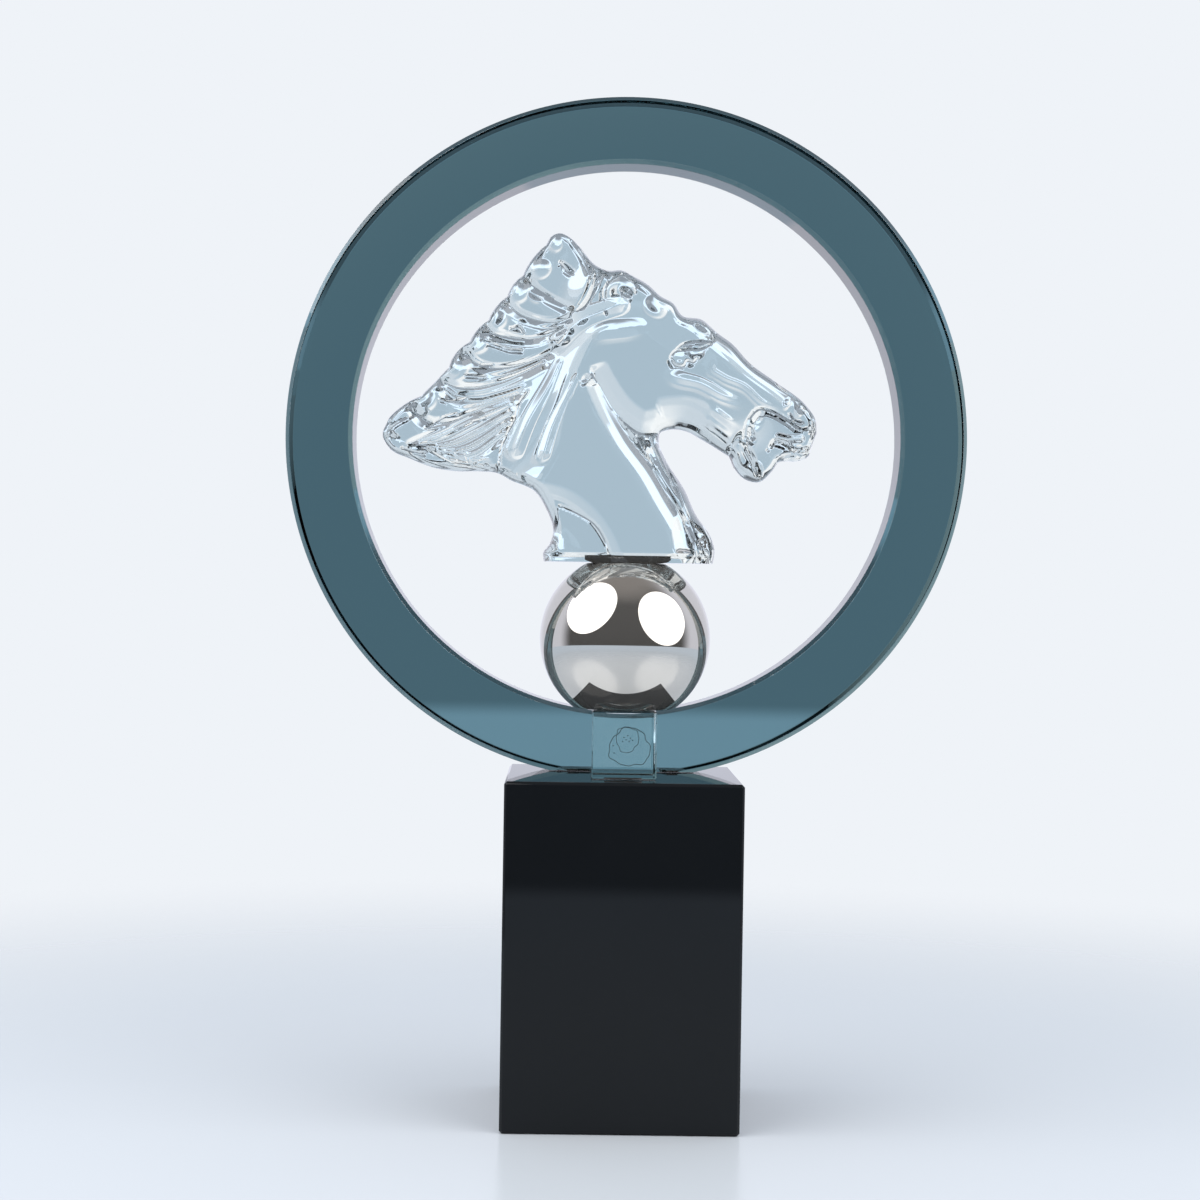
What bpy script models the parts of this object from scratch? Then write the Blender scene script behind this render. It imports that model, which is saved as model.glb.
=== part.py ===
"""Glass horse head trophy.

A black glass block carries an upright smoky glass ring. A small clear block
stands in front of the ring and carries a mirror ball, and a pressed clear
glass horse head stands on the ball, in front of the ring's opening.
Units are metres, +Z is up, the horse faces +X and the front is -Y.
The origin is the centre of the underside.
"""

import math

import bmesh
import bpy
import numpy as np
from mathutils import Vector
from mathutils.geometry import delaunay_2d_cdt

# Driving dimensions, in metres
BASE_WIDTH = 0.082
BASE_DEPTH = 0.082
BASE_HEIGHT = 0.120
BASE_CHAMFER = 0.0010

RING_RADIUS = 0.1225
RING_BAND = 0.024
RING_THICKNESS = 0.020
RING_CHAMFER = 0.0014
RING_FOOT_WIDTH = 0.052

BLOCK_WIDTH = 0.0225
BLOCK_DEPTH = 0.034
BLOCK_CHAMFER = 0.0005

BALL_RADIUS = 0.030
BALL_FOOT_RADIUS = 0.0175
BALL_TOP_RADIUS = 0.0140
BALL_OVER_RING = 0.0024

HORSE_HEIGHT = 0.1152
HORSE_THICKNESS = 0.028

# Glued faces keep this gap between them
GLUE_GAP = 0.0003

# How finely the round pieces and the carving are faceted
RING_STEPS = 96
BALL_STEPS = 40
BALL_ARC_STEPS = 16
HORSE_EDGE_SPACING = 2.4
HORSE_NET_SPACING = 2.5
RIM_ROWS = 2

# Places that follow from the sizes
foot_z = BASE_HEIGHT + GLUE_GAP
ring_centre_z = foot_z + math.sqrt(RING_RADIUS ** 2 - (RING_FOOT_WIDTH / 2) ** 2)
ring_inner_radius = RING_RADIUS - RING_BAND
stack_depth = BLOCK_DEPTH + GLUE_GAP + RING_THICKNESS
ring_y = stack_depth / 2 - RING_THICKNESS / 2
block_y = BLOCK_DEPTH / 2 - stack_depth / 2
block_top_z = ring_centre_z - ring_inner_radius + BALL_OVER_RING - GLUE_GAP
block_height = block_top_z - foot_z
ball_foot_z = block_top_z + GLUE_GAP
ball_foot_drop = math.sqrt(BALL_RADIUS ** 2 - BALL_FOOT_RADIUS ** 2)
ball_top_rise = math.sqrt(BALL_RADIUS ** 2 - BALL_TOP_RADIUS ** 2)
ball_centre_z = ball_foot_z + ball_foot_drop
horse_foot_z = ball_centre_z + ball_top_rise + GLUE_GAP

# The horse head is drawn in millimetres, seen from the front: x runs to the
# muzzle and z runs up from its flat foot, and every length of it is a share
# of the height and the thickness that it was drawn at.
DRAWN_HEIGHT = 115.2
DRAWN_THICKNESS = 28.0

POLL_TO_MUZZLE = [
    (-30.1, 110.7), (-27.8, 114.3), (-24.9, 115.2), (-21.8, 114.0),
    (-18.4, 110.9), (-11.6, 103.7), (-7.8, 102.2), (-3.6, 102.5),
    (1.0, 100.4), (6.4, 97.3), (10.4, 93.8), (15.3, 91.0), (18.3, 87.0),
    (24.9, 85.8), (30.6, 81.2), (35.8, 77.5), (42.2, 70.8), (51.0, 64.6),
    (62.5, 56.0), (65.8, 51.0), (66.2, 46.6)]
LIPS_AND_CHIN = [
    (66.2, 46.6), (64.7, 42.2), (63.3, 38.2), (59.7, 36.6), (52.9, 36.0),
    (51.0, 33.2), (46.0, 29.0), (41.6, 29.9), (37.7, 33.6), (35.6, 38.0)]
JAW_AND_THROAT = [
    (35.6, 38.0), (26.3, 43.5), (19.9, 46.7), (14.9, 47.1), (11.2, 45.6),
    (10.8, 42.6), (13.0, 36.9), (20.2, 25.7), (24.1, 17.4), (29.9, 8.8),
    (31.0, 4.7), (30.4, 0.0)]
NAPE = [
    (-29.0, 0.0), (-29.3, 3.0), (-27.1, 6.1), (-26.0, 9.4), (-28.7, 19.0),
    (-32.6, 24.6), (-41.0, 28.3), (-45.6, 30.7), (-52.0, 31.3),
    (-60.0, 31.2), (-67.5, 32.2), (-76.2, 35.2), (-83.7, 38.8),
    (-86.2, 43.2), (-84.2, 49.2)]
MANE_EDGE = [
    (-84.2, 49.2), (-75.5, 55.4), (-67.4, 61.6), (-60.6, 71.4),
    (-53.2, 79.8), (-45.4, 89.6), (-38.6, 98.9), (-30.1, 110.7)]

# The locks end in round lobes along the mane's edge. Each crease between two
# locks runs from the root line to a notch in the edge, and sags on the way:
# share along the edge, share along the root line, sag
LOCK_CREASES = [
    (0.17, 0.33, 10.0), (0.34, 0.42, 9.0), (0.48, 0.55, 13.0),
    (0.60, 0.67, 9.0), (0.73, 0.74, 10.0), (0.84, 0.81, 6.0),
    (1.0, 0.92, 2.0)]
LOBE_SWELL = 1.5
MANE_ROOT = [
    (-45.3, 33.5), (-44.0, 39.5), (-41.0, 46.6), (-37.6, 54.5),
    (-32.8, 61.5), (-27.3, 72.0), (-18.7, 86.0), (-8.5, 101.0)]
LOCK_WIDTH = 5.0
LOCK_DEPTH = 3.4

# Half thickness at stations over the form, as x, z, spread, half thickness
THICKNESS_PLAN = [
    (-2.0, 24.0, 16.0, 17.0), (2.0, 62.0, 14.0, 17.0),
    (-14.0, 5.0, 12.0, 14.0), (24.0, 66.0, 12.0, 14.5),
    (15.0, 33.0, 6.0, 11.5), (24.0, 12.0, 6.0, 10.5),
    (18.0, 82.0, 10.0, 12.0), (42.0, 58.0, 11.0, 12.0),
    (60.0, 47.0, 9.0, 10.0), (45.0, 34.0, 8.0, 9.5),
    (-6.0, 92.0, 10.0, 13.0), (-24.0, 108.0, 9.0, 8.5),
    (-36.0, 78.0, 12.0, 9.5), (-54.0, 58.0, 14.0, 9.5),
    (-78.0, 44.0, 10.0, 8.0), (-50.0, 40.0, 10.0, 9.5),
    (-32.0, 45.0, 10.0, 13.0)]
FLAT_HALF_THICKNESS = DRAWN_THICKNESS / 2
LEAST_HALF_THICKNESS = 3.0
RIM_SHARE = 0.62
RELIEF_START = 2.5

# Raised lines of the carving, as points, half width, height
RIDGES = [
    ([(-1.0, 89.5), (-10.0, 84.5), (-18.5, 80.5), (-27.3, 72.0)], 4.6, 3.0),
    ([(-18.8, 74.0), (-6.5, 81.2), (9.8, 83.2)], 4.0, 1.8),
    ([(-23.3, 71.7), (-33.5, 54.0), (-41.0, 35.5)], 3.0, 2.0),
    ([(-17.9, 68.2), (-25.1, 53.3), (-30.0, 30.5)], 3.0, 1.8),
    ([(1.7, 74.0), (14.4, 66.9), (27.1, 60.3), (40.6, 55.5)], 4.0, 2.2),
    ([(26.1, 55.5), (32.2, 52.0), (37.1, 48.9)], 2.8, 1.4),
    ([(28.2, 78.6), (42.1, 68.5), (53.0, 60.0)], 3.4, 1.8),
    ([(14.6, 74.6), (19.4, 77.6), (24.0, 77.4), (28.8, 75.2)], 2.8, 2.0),
    ([(6.0, 41.0), (14.2, 27.5), (23.8, 3.0)], 3.0, 1.6),
    ([(50.0, 43.4), (57.0, 41.4), (62.0, 40.6)], 2.6, 2.0)]

# Sunk lines of the carving, as points, half width, depth
CREASES = [
    ([(1.0, 44.0), (9.0, 31.0), (21.0, 4.0)], 3.6, 2.8),
    ([(11.2, 37.0), (18.2, 22.0), (26.4, 3.0)], 3.0, 2.2),
    ([(-13.7, 65.0), (-10.6, 58.5), (-2.8, 49.1), (2.4, 45.8), (10.6, 45.6)],
     4.0, 3.0),
    ([(-23.0, 17.6), (-14.5, 15.4), (-8.2, 7.1), (-6.2, 1.0)], 3.6, 2.4),
    ([(44.8, 29.8), (42.8, 37.0), (40.4, 43.0), (40.6, 50.4), (44.0, 54.0),
      (51.6, 52.2), (62.5, 46.3)], 3.2, 3.0),
    ([(-11.0, 101.5), (-11.4, 93.5), (-15.5, 87.0)], 3.4, 3.4),
    ([(-36.4, 53.0), (-54.0, 46.0), (-74.0, 42.6)], 4.4, 2.8),
    ([(-40.6, 47.0), (-50.0, 42.5), (-65.0, 37.0)], 4.0, 2.6),
    ([(-44.0, 40.0), (-50.0, 37.0), (-57.0, 33.6)], 3.6, 2.2),
    ([(-30.0, 107.0), (-26.0, 103.0), (-20.0, 95.0)], 3.0, 1.8)]

# Round swellings and hollows, as x, z, half length, half width, tilt, height
LENSES = [
    (-4.4, 94.4, 8.4, 6.4, 50.0, 3.6),
    (-2.4, 93.8, 3.6, 2.6, 50.0, -3.4),
    (0.0, 61.0, 17.0, 13.0, 0.0, 1.6),
    (22.6, 73.0, 4.6, 3.4, 0.0, 2.4),
    (16.6, 71.0, 4.4, 3.4, 0.0, 1.6),
    (24.8, 82.2, 5.4, 4.0, -30.0, 2.6),
    (9.0, 88.6, 4.8, 4.8, 0.0, 2.4),
    (61.0, 53.0, 4.6, 3.0, -60.0, -3.0),
    (57.0, 57.6, 5.2, 3.6, -40.0, 2.4),
    (50.0, 46.4, 8.0, 5.0, -20.0, -1.8),
    (43.6, 33.6, 5.0, 4.4, 0.0, 1.8),
    (-15.6, 63.8, 3.0, 2.4, 0.0, -1.8)]

# Ledges that fall away on the left of their direction, as points, width of
# the slope, reach of the lower level, fall
LEDGES = [
    ([(-0.9, 1.0), (-5.2, 11.1), (-10.9, 17.2), (-18.7, 22.3), (-33.0, 27.0)],
     5.5, 22.0, 2.4)]


def smooth_line(points, steps=10):
    """Return the smooth curve through the points, a knot at every chord."""
    knots = np.array(points, dtype=float)
    chord = np.hypot(*np.diff(knots, axis=0).T)
    at = np.concatenate([[0.0], np.cumsum(chord)])
    slope = np.gradient(knots, at, axis=0)
    pieces = []
    for i, length in enumerate(chord):
        t = (np.arange(steps) / steps)[:, None]
        start = (2 * t ** 3 - 3 * t ** 2 + 1) * knots[i]
        start += (t ** 3 - 2 * t ** 2 + t) * length * slope[i]
        end = (3 * t ** 2 - 2 * t ** 3) * knots[i + 1]
        end += (t ** 3 - t ** 2) * length * slope[i + 1]
        pieces.append(start + end)
    pieces.append(knots[-1:])
    return np.vstack(pieces)


def along(line, shares):
    """Return the points at the given shares of a line's length."""
    run = np.concatenate([[0.0], np.cumsum(np.hypot(*np.diff(line, axis=0).T))])
    at = np.asarray(shares) * run[-1]
    return np.stack([np.interp(at, run, line[:, k]) for k in (0, 1)], axis=1)


def even(line, spacing):
    """Return the line with even steps of about the given spacing."""
    length = np.hypot(*np.diff(line, axis=0).T).sum()
    count = max(2, round(length / spacing))
    return along(line, np.linspace(0.0, 1.0, count + 1))


def distance(points, line):
    """Return each point's distance to a line, and the side that it is on."""
    start, step = line[:-1], np.diff(line, axis=0)
    rel = points[:, None, :] - start[None]
    share = np.clip((rel * step).sum(2) / (step ** 2).sum(1), 0.0, 1.0)
    off = rel - share[..., None] * step
    reach = np.hypot(off[..., 0], off[..., 1])
    best = reach.argmin(axis=1)
    rows = np.arange(len(points))
    cross = step[best, 0] * rel[rows, best, 1] - step[best, 1] * rel[rows, best, 0]
    return reach[rows, best], np.sign(cross)


def mane_edge():
    """Return the mane's edge, swollen into one lobe for each lock."""
    line = even(smooth_line(MANE_EDGE), 0.5)
    share = np.linspace(0.0, 1.0, len(line))
    notches = [0.0] + [crease[0] for crease in LOCK_CREASES]
    phase = np.interp(share, notches, range(len(notches)))
    step = np.gradient(line, axis=0)
    outward = np.stack([-step[:, 1], step[:, 0]], axis=1)
    outward /= np.hypot(*outward.T)[:, None]
    swell = LOBE_SWELL * np.abs(np.sin(math.pi * phase)) ** 0.7
    return line + outward * swell[:, None]


def open_outline():
    """Return the outline from the foot's right end round to its left end."""
    stretches = [smooth_line(JAW_AND_THROAT)[::-1], smooth_line(LIPS_AND_CHIN)[::-1],
                 smooth_line(POLL_TO_MUZZLE)[::-1], mane_edge()[::-1],
                 smooth_line(NAPE)[::-1]]
    return np.vstack([stretches[0]] + [s[1:] for s in stretches[1:]])


def lock_creases():
    """Return the creases between locks, from the root line to the notches."""
    root_line, edge_line = smooth_line(MANE_ROOT), smooth_line(MANE_EDGE)
    lines = []
    for edge_share, root_share, sag in LOCK_CREASES:
        root = along(root_line, [root_share])
        end = along(edge_line, [edge_share])
        middle = (root + end) / 2 - np.array([0.9 * sag, sag])
        t = np.linspace(0.0, 1.0, 15)[:, None]
        lines.append((1 - t) ** 2 * root + 2 * t * (1 - t) * middle + t ** 2 * end)
    return lines


def bell(t):
    """Return a smooth hump, 1 at 0 and 0 from 1 on."""
    return (1 - np.clip(np.abs(t), 0, 1) ** 2) ** 2


def ramp(t):
    """Return a smooth rise from 0 at 0 to 1 at 1."""
    t = np.clip(t, 0, 1)
    return t * t * (3 - 2 * t)


def half_thickness(points, outline):
    """Return the carved half thickness of the horse head at each point."""
    total, weight = np.zeros(len(points)), np.full(len(points), 1e-9)
    for x, z, spread, half in THICKNESS_PLAN:
        pull = np.exp(-((points[:, 0] - x) ** 2 + (points[:, 1] - z) ** 2)
                      / (2 * spread ** 2))
        total += pull * half
        weight += pull
    body = np.minimum(total / weight, FLAT_HALF_THICKNESS)
    raised, sunk = np.zeros(len(points)), np.zeros(len(points))
    for knots, width, height in RIDGES:
        gap = distance(points, smooth_line(knots))[0]
        raised = np.maximum(raised, height * bell(gap / width))
    creases = [(smooth_line(knots), width, depth) for knots, width, depth in CREASES]
    creases += [(line, LOCK_WIDTH, LOCK_DEPTH) for line in lock_creases()]
    for line, width, depth in creases:
        gap = np.clip(distance(points, line)[0] / width, 0, 1)
        sunk = np.maximum(sunk, depth * (1 - gap) ** 2)
    relief = raised - sunk
    for x, z, length, width, tilt, height in LENSES:
        turn = math.radians(tilt)
        dx, dz = points[:, 0] - x, points[:, 1] - z
        u = (dx * math.cos(turn) + dz * math.sin(turn)) / length
        v = (dz * math.cos(turn) - dx * math.sin(turn)) / width
        relief += height * bell(np.hypot(u, v))
    for knots, slope, reach, fall in LEDGES:
        gap, side = distance(points, smooth_line(knots))
        lower = np.where(side > 0, gap, 0)
        relief -= fall * ramp(lower / slope) * (1 - ramp(lower / reach - 0.5))
    rim, _ = distance(points, outline)
    near = np.clip(rim / (RIM_SHARE * body), 0, 1)
    near[rim < 1e-4] = 0.0
    carved = body + relief * np.clip(rim / RELIEF_START, 0, 1)
    return np.maximum(carved, LEAST_HALF_THICKNESS) * np.sqrt(1 - (1 - near) ** 2)


def inner_net(outline, loop):
    """Return the net's points: rows along the rim and an even field inside."""
    rim_width = RIM_SHARE * FLAT_HALF_THICKNESS * 0.8
    rows = []
    step = np.gradient(outline, axis=0)
    inward = np.stack([-step[:, 1], step[:, 0]], axis=1)
    inward /= np.hypot(*inward.T)[:, None]
    for row in range(1, RIM_ROWS + 1):
        depth = rim_width * (1 - math.cos(math.pi / 2 * row / (RIM_ROWS + 0.6)))
        rows.append((depth, outline + inward * depth))
    low, high = loop.min(axis=0), loop.max(axis=0)
    pitch = HORSE_NET_SPACING * math.sqrt(3) / 2
    field = [(x + HORSE_NET_SPACING / 2 * (j % 2), z)
             for j, z in enumerate(np.arange(low[1] + pitch, high[1], pitch))
             for x in np.arange(low[0], high[0], HORSE_NET_SPACING)]
    kept = []
    for depth, line in rows:
        away, _ = distance(line, outline)
        inside = within(line, loop) & (line[:, 1] > depth * 0.6)
        kept.extend(thin(line[inside & (away > 0.96 * depth)], kept))
    field = np.array(field)
    away, _ = distance(field, outline)
    inside = within(field, loop) & (away > rim_width * 0.95)
    inside &= field[:, 1] > HORSE_NET_SPACING * 0.4
    kept.extend(thin(field[inside], kept))
    return np.array(kept)


def thin(points, kept):
    """Return the points that stand clear of each other and of those kept."""
    clear = []
    for point in points:
        others = np.array(kept + clear) if kept or clear else np.empty((0, 2))
        if len(others) == 0 or np.hypot(*(others - point).T).min() > HORSE_NET_SPACING * 0.45:
            clear.append(tuple(point))
    return clear


def within(points, loop):
    """Return which points lie inside the closed loop."""
    a, b = loop, np.roll(loop, -1, axis=0)
    crossing = (a[None, :, 1] > points[:, 1:2]) != (b[None, :, 1] > points[:, 1:2])
    with np.errstate(divide="ignore", invalid="ignore"):
        at = a[:, 0] + (points[:, 1:2] - a[:, 1]) / (b[:, 1] - a[:, 1]) * (b[:, 0] - a[:, 0])
    return (crossing & (points[:, 0:1] < at)).sum(axis=1) % 2 == 1


def glass(name, colour, roughness=0.05, metallic=0.0):
    """Return a plain material for one piece."""
    material = bpy.data.materials.new(name)
    material.use_nodes = True
    shader = material.node_tree.nodes["Principled BSDF"]
    shader.inputs["Base Color"].default_value = (*colour, 1.0)
    shader.inputs["Roughness"].default_value = roughness
    shader.inputs["Metallic"].default_value = metallic
    return material


def add_object(name, mesh, collection, material=None):
    """Link a mesh to the collection as a named object."""
    piece = bpy.data.objects.new(name, mesh)
    if material is not None:
        mesh.materials.append(material)
    collection.objects.link(piece)
    return piece


def add_box(name, size, place, collection, material=None, chamfer=0.0):
    """Add a box of the given size about its place, with chamfered edges."""
    mesh = bpy.data.meshes.new(name)
    bm = bmesh.new()
    bmesh.ops.create_cube(bm, size=1.0)
    bmesh.ops.scale(bm, vec=size, verts=bm.verts)
    bm.to_mesh(mesh)
    bm.free()
    piece = add_object(name, mesh, collection, material)
    piece.location = place
    if chamfer > 0:
        bevel = piece.modifiers.new("chamfer", "BEVEL")
        bevel.width = chamfer
        bevel.segments = 1
    return piece


def add_turned(name, profile, steps, closed, collection, material):
    """Add a piece turned about its own Z from a profile of x, z points."""
    mesh = bpy.data.meshes.new(name)
    bm = bmesh.new()
    verts = [bm.verts.new((x, 0.0, z)) for x, z in profile]
    for a, b in zip(verts, verts[1:]):
        bm.edges.new((a, b))
    if closed:
        bm.edges.new((verts[-1], verts[0]))
    bm.to_mesh(mesh)
    bm.free()
    piece = add_object(name, mesh, collection, material)
    screw = piece.modifiers.new("turn", "SCREW")
    screw.steps = steps
    screw.render_steps = steps
    screw.use_merge_vertices = True
    screw.merge_threshold = 0.00001
    screw.use_smooth_shade = True
    return piece


def build_ring(parts, cutters):
    """Add the upright ring, cut flat where it stands on the base."""
    half = RING_THICKNESS / 2
    outer, inner, cut = RING_RADIUS, ring_inner_radius, RING_CHAMFER
    profile = [(outer - cut, half), (outer, half - cut), (outer, cut - half),
               (outer - cut, -half), (inner + cut, -half), (inner, cut - half),
               (inner, half - cut), (inner + cut, half)]
    ring = add_turned("ring", profile, RING_STEPS, True, parts,
                      glass("smoky_glass", (0.10, 0.20, 0.24)))
    ring.rotation_euler = (math.pi / 2, 0.0, 0.0)
    ring.location = (0.0, ring_y, ring_centre_z)
    depth = RING_RADIUS
    below = add_box("ring_foot_cutter", (2 * RING_RADIUS, 2 * RING_THICKNESS, depth),
                    (0.0, ring_y, foot_z - depth / 2), cutters)
    below.hide_render = True
    below.display_type = "WIRE"
    flat = ring.modifiers.new("foot", "BOOLEAN")
    flat.object = below
    return ring


def build_ball(parts):
    """Add the ball, with a flat where it stands and one under the horse."""
    low = -math.acos(BALL_FOOT_RADIUS / BALL_RADIUS)
    high = math.acos(BALL_TOP_RADIUS / BALL_RADIUS)
    angles = np.linspace(high, low, BALL_ARC_STEPS + 1)
    profile = [(0.0, ball_top_rise)]
    profile += [(BALL_RADIUS * math.cos(a), BALL_RADIUS * math.sin(a)) for a in angles]
    profile.append((0.0, -ball_foot_drop))
    ball = add_turned("ball", profile, BALL_STEPS, False, parts,
                      glass("mirror_ball", (0.62, 0.60, 0.57), 0.03, 1.0))
    ball.location = (0.0, block_y, ball_centre_z)
    return ball


def build_horse(parts):
    """Add the carved horse head: a net over its front face, mirrored."""
    outline = even(open_outline(), HORSE_EDGE_SPACING)
    foot = even(np.array([outline[-1], outline[0]]), HORSE_EDGE_SPACING)
    loop = np.vstack([outline, foot[1:-1]])
    points = np.vstack([loop, inner_net(outline, loop)])
    edges = [(i, (i + 1) % len(loop)) for i in range(len(loop))]
    net = delaunay_2d_cdt([Vector(p) for p in points], edges, [], 1, 1e-6)
    flat = np.array([tuple(p) for p in net[0]])
    half = half_thickness(flat, outline) * HORSE_THICKNESS / DRAWN_THICKNESS
    flat *= HORSE_HEIGHT / DRAWN_HEIGHT

    bm = bmesh.new()
    verts = [bm.verts.new((x, -y, z)) for (x, z), y in zip(flat, half)]
    for face in net[2]:
        bm.faces.new([verts[i] for i in reversed(face)])
    foot_edges = [e for e in bm.edges if e.is_boundary
                  and max(v.co.z for v in e.verts) < 1e-7]
    sole = bmesh.ops.extrude_edge_only(bm, edges=foot_edges)
    for item in sole["geom"]:
        if isinstance(item, bmesh.types.BMVert):
            item.co.y = 0.0
    bmesh.ops.remove_doubles(bm, verts=bm.verts, dist=1e-6)
    bmesh.ops.recalc_face_normals(bm, faces=bm.faces)
    if sum(f.normal.y * f.calc_area() for f in bm.faces) > 0:
        bmesh.ops.reverse_faces(bm, faces=bm.faces)
    mesh = bpy.data.meshes.new("horse_head")
    bm.to_mesh(mesh)
    bm.free()
    mesh.shade_smooth()
    horse = add_object("horse_head", mesh, parts, glass("clear_glass", (0.70, 0.80, 0.86)))
    horse.location = (0.0, block_y, horse_foot_z)
    mirror = horse.modifiers.new("back", "MIRROR")
    mirror.use_axis = (False, True, False)
    mirror.merge_threshold = 0.000001
    return horse


def main():
    """Build every piece of the trophy."""
    for old in list(bpy.data.objects):
        bpy.data.objects.remove(old)
    parts = bpy.data.collections.new("glass_horse_head_trophy")
    cutters = bpy.data.collections.new("cutters")
    bpy.context.scene.collection.children.link(parts)
    bpy.context.scene.collection.children.link(cutters)

    add_box("base_block", (BASE_WIDTH, BASE_DEPTH, BASE_HEIGHT),
            (0.0, 0.0, BASE_HEIGHT / 2), parts,
            glass("black_glass", (0.012, 0.013, 0.015)), BASE_CHAMFER)
    build_ring(parts, cutters)
    add_box("clear_block", (BLOCK_WIDTH, BLOCK_DEPTH, block_height),
            (0.0, block_y, foot_z + block_height / 2), parts,
            glass("block_glass", (0.75, 0.84, 0.88)), BLOCK_CHAMFER)
    build_ball(parts)
    build_horse(parts)


main()
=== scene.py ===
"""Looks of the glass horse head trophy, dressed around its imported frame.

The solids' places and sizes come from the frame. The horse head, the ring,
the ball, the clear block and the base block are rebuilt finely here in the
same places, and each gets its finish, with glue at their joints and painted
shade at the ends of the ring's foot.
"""

import logging
import math
from dataclasses import dataclass, field
from enum import Enum
from typing import Any, Callable, Iterable, Sequence

import bmesh
import bpy
import numpy as np
from mathutils import Matrix, Vector
from mathutils.geometry import delaunay_2d_cdt


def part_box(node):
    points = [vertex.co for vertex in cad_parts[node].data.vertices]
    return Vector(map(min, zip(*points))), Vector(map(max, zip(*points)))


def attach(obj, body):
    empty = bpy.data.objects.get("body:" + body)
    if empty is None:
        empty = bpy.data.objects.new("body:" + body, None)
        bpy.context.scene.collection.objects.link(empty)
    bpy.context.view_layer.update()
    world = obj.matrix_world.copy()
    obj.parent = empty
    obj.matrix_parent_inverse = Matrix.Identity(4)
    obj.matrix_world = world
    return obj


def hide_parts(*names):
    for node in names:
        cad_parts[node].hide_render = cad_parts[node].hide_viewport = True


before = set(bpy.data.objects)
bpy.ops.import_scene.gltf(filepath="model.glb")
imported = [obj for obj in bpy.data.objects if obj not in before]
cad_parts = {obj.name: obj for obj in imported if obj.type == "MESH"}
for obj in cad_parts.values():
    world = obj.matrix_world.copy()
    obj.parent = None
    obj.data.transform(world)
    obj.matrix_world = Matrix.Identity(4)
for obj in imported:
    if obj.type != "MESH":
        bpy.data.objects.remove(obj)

LOG = logging.getLogger("trophy")
MM = 0.001
Point = tuple[float, float]
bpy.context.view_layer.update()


class Operation(Enum):
    """The Math node operations that expressions use."""

    ADD = "ADD"
    SUBTRACT = "SUBTRACT"
    MULTIPLY = "MULTIPLY"
    GREATER = "GREATER_THAN"


class Value:
    """A shader socket that takes part in Python expressions."""

    def __init__(self, shading: "Shading", socket: bpy.types.NodeSocket) -> None:
        """Wrap a socket of the shading's tree."""
        self.shading = shading
        self.socket = socket

    def _math(self, operation: Operation, first: Any, second: Any) -> "Value":
        """Add the Math node of an expression and return its result."""
        node = self.shading.node("ShaderNodeMath", {"operation": operation.value},
                                 {0: first, 1: second})
        return Value(self.shading, node.outputs[0])

    def __add__(self, other: Any) -> "Value":
        """Return self + other."""
        return self._math(Operation.ADD, self, other)

    __radd__ = __add__

    def __sub__(self, other: Any) -> "Value":
        """Return self - other."""
        return self._math(Operation.SUBTRACT, self, other)

    def __rsub__(self, other: Any) -> "Value":
        """Return other - self."""
        return self._math(Operation.SUBTRACT, other, self)

    def __mul__(self, other: Any) -> "Value":
        """Return self * other."""
        return self._math(Operation.MULTIPLY, self, other)

    __rmul__ = __mul__

    def __gt__(self, other: Any) -> "Value":
        """Return 1 where self > other, else 0."""
        return self._math(Operation.GREATER, self, other)


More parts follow.
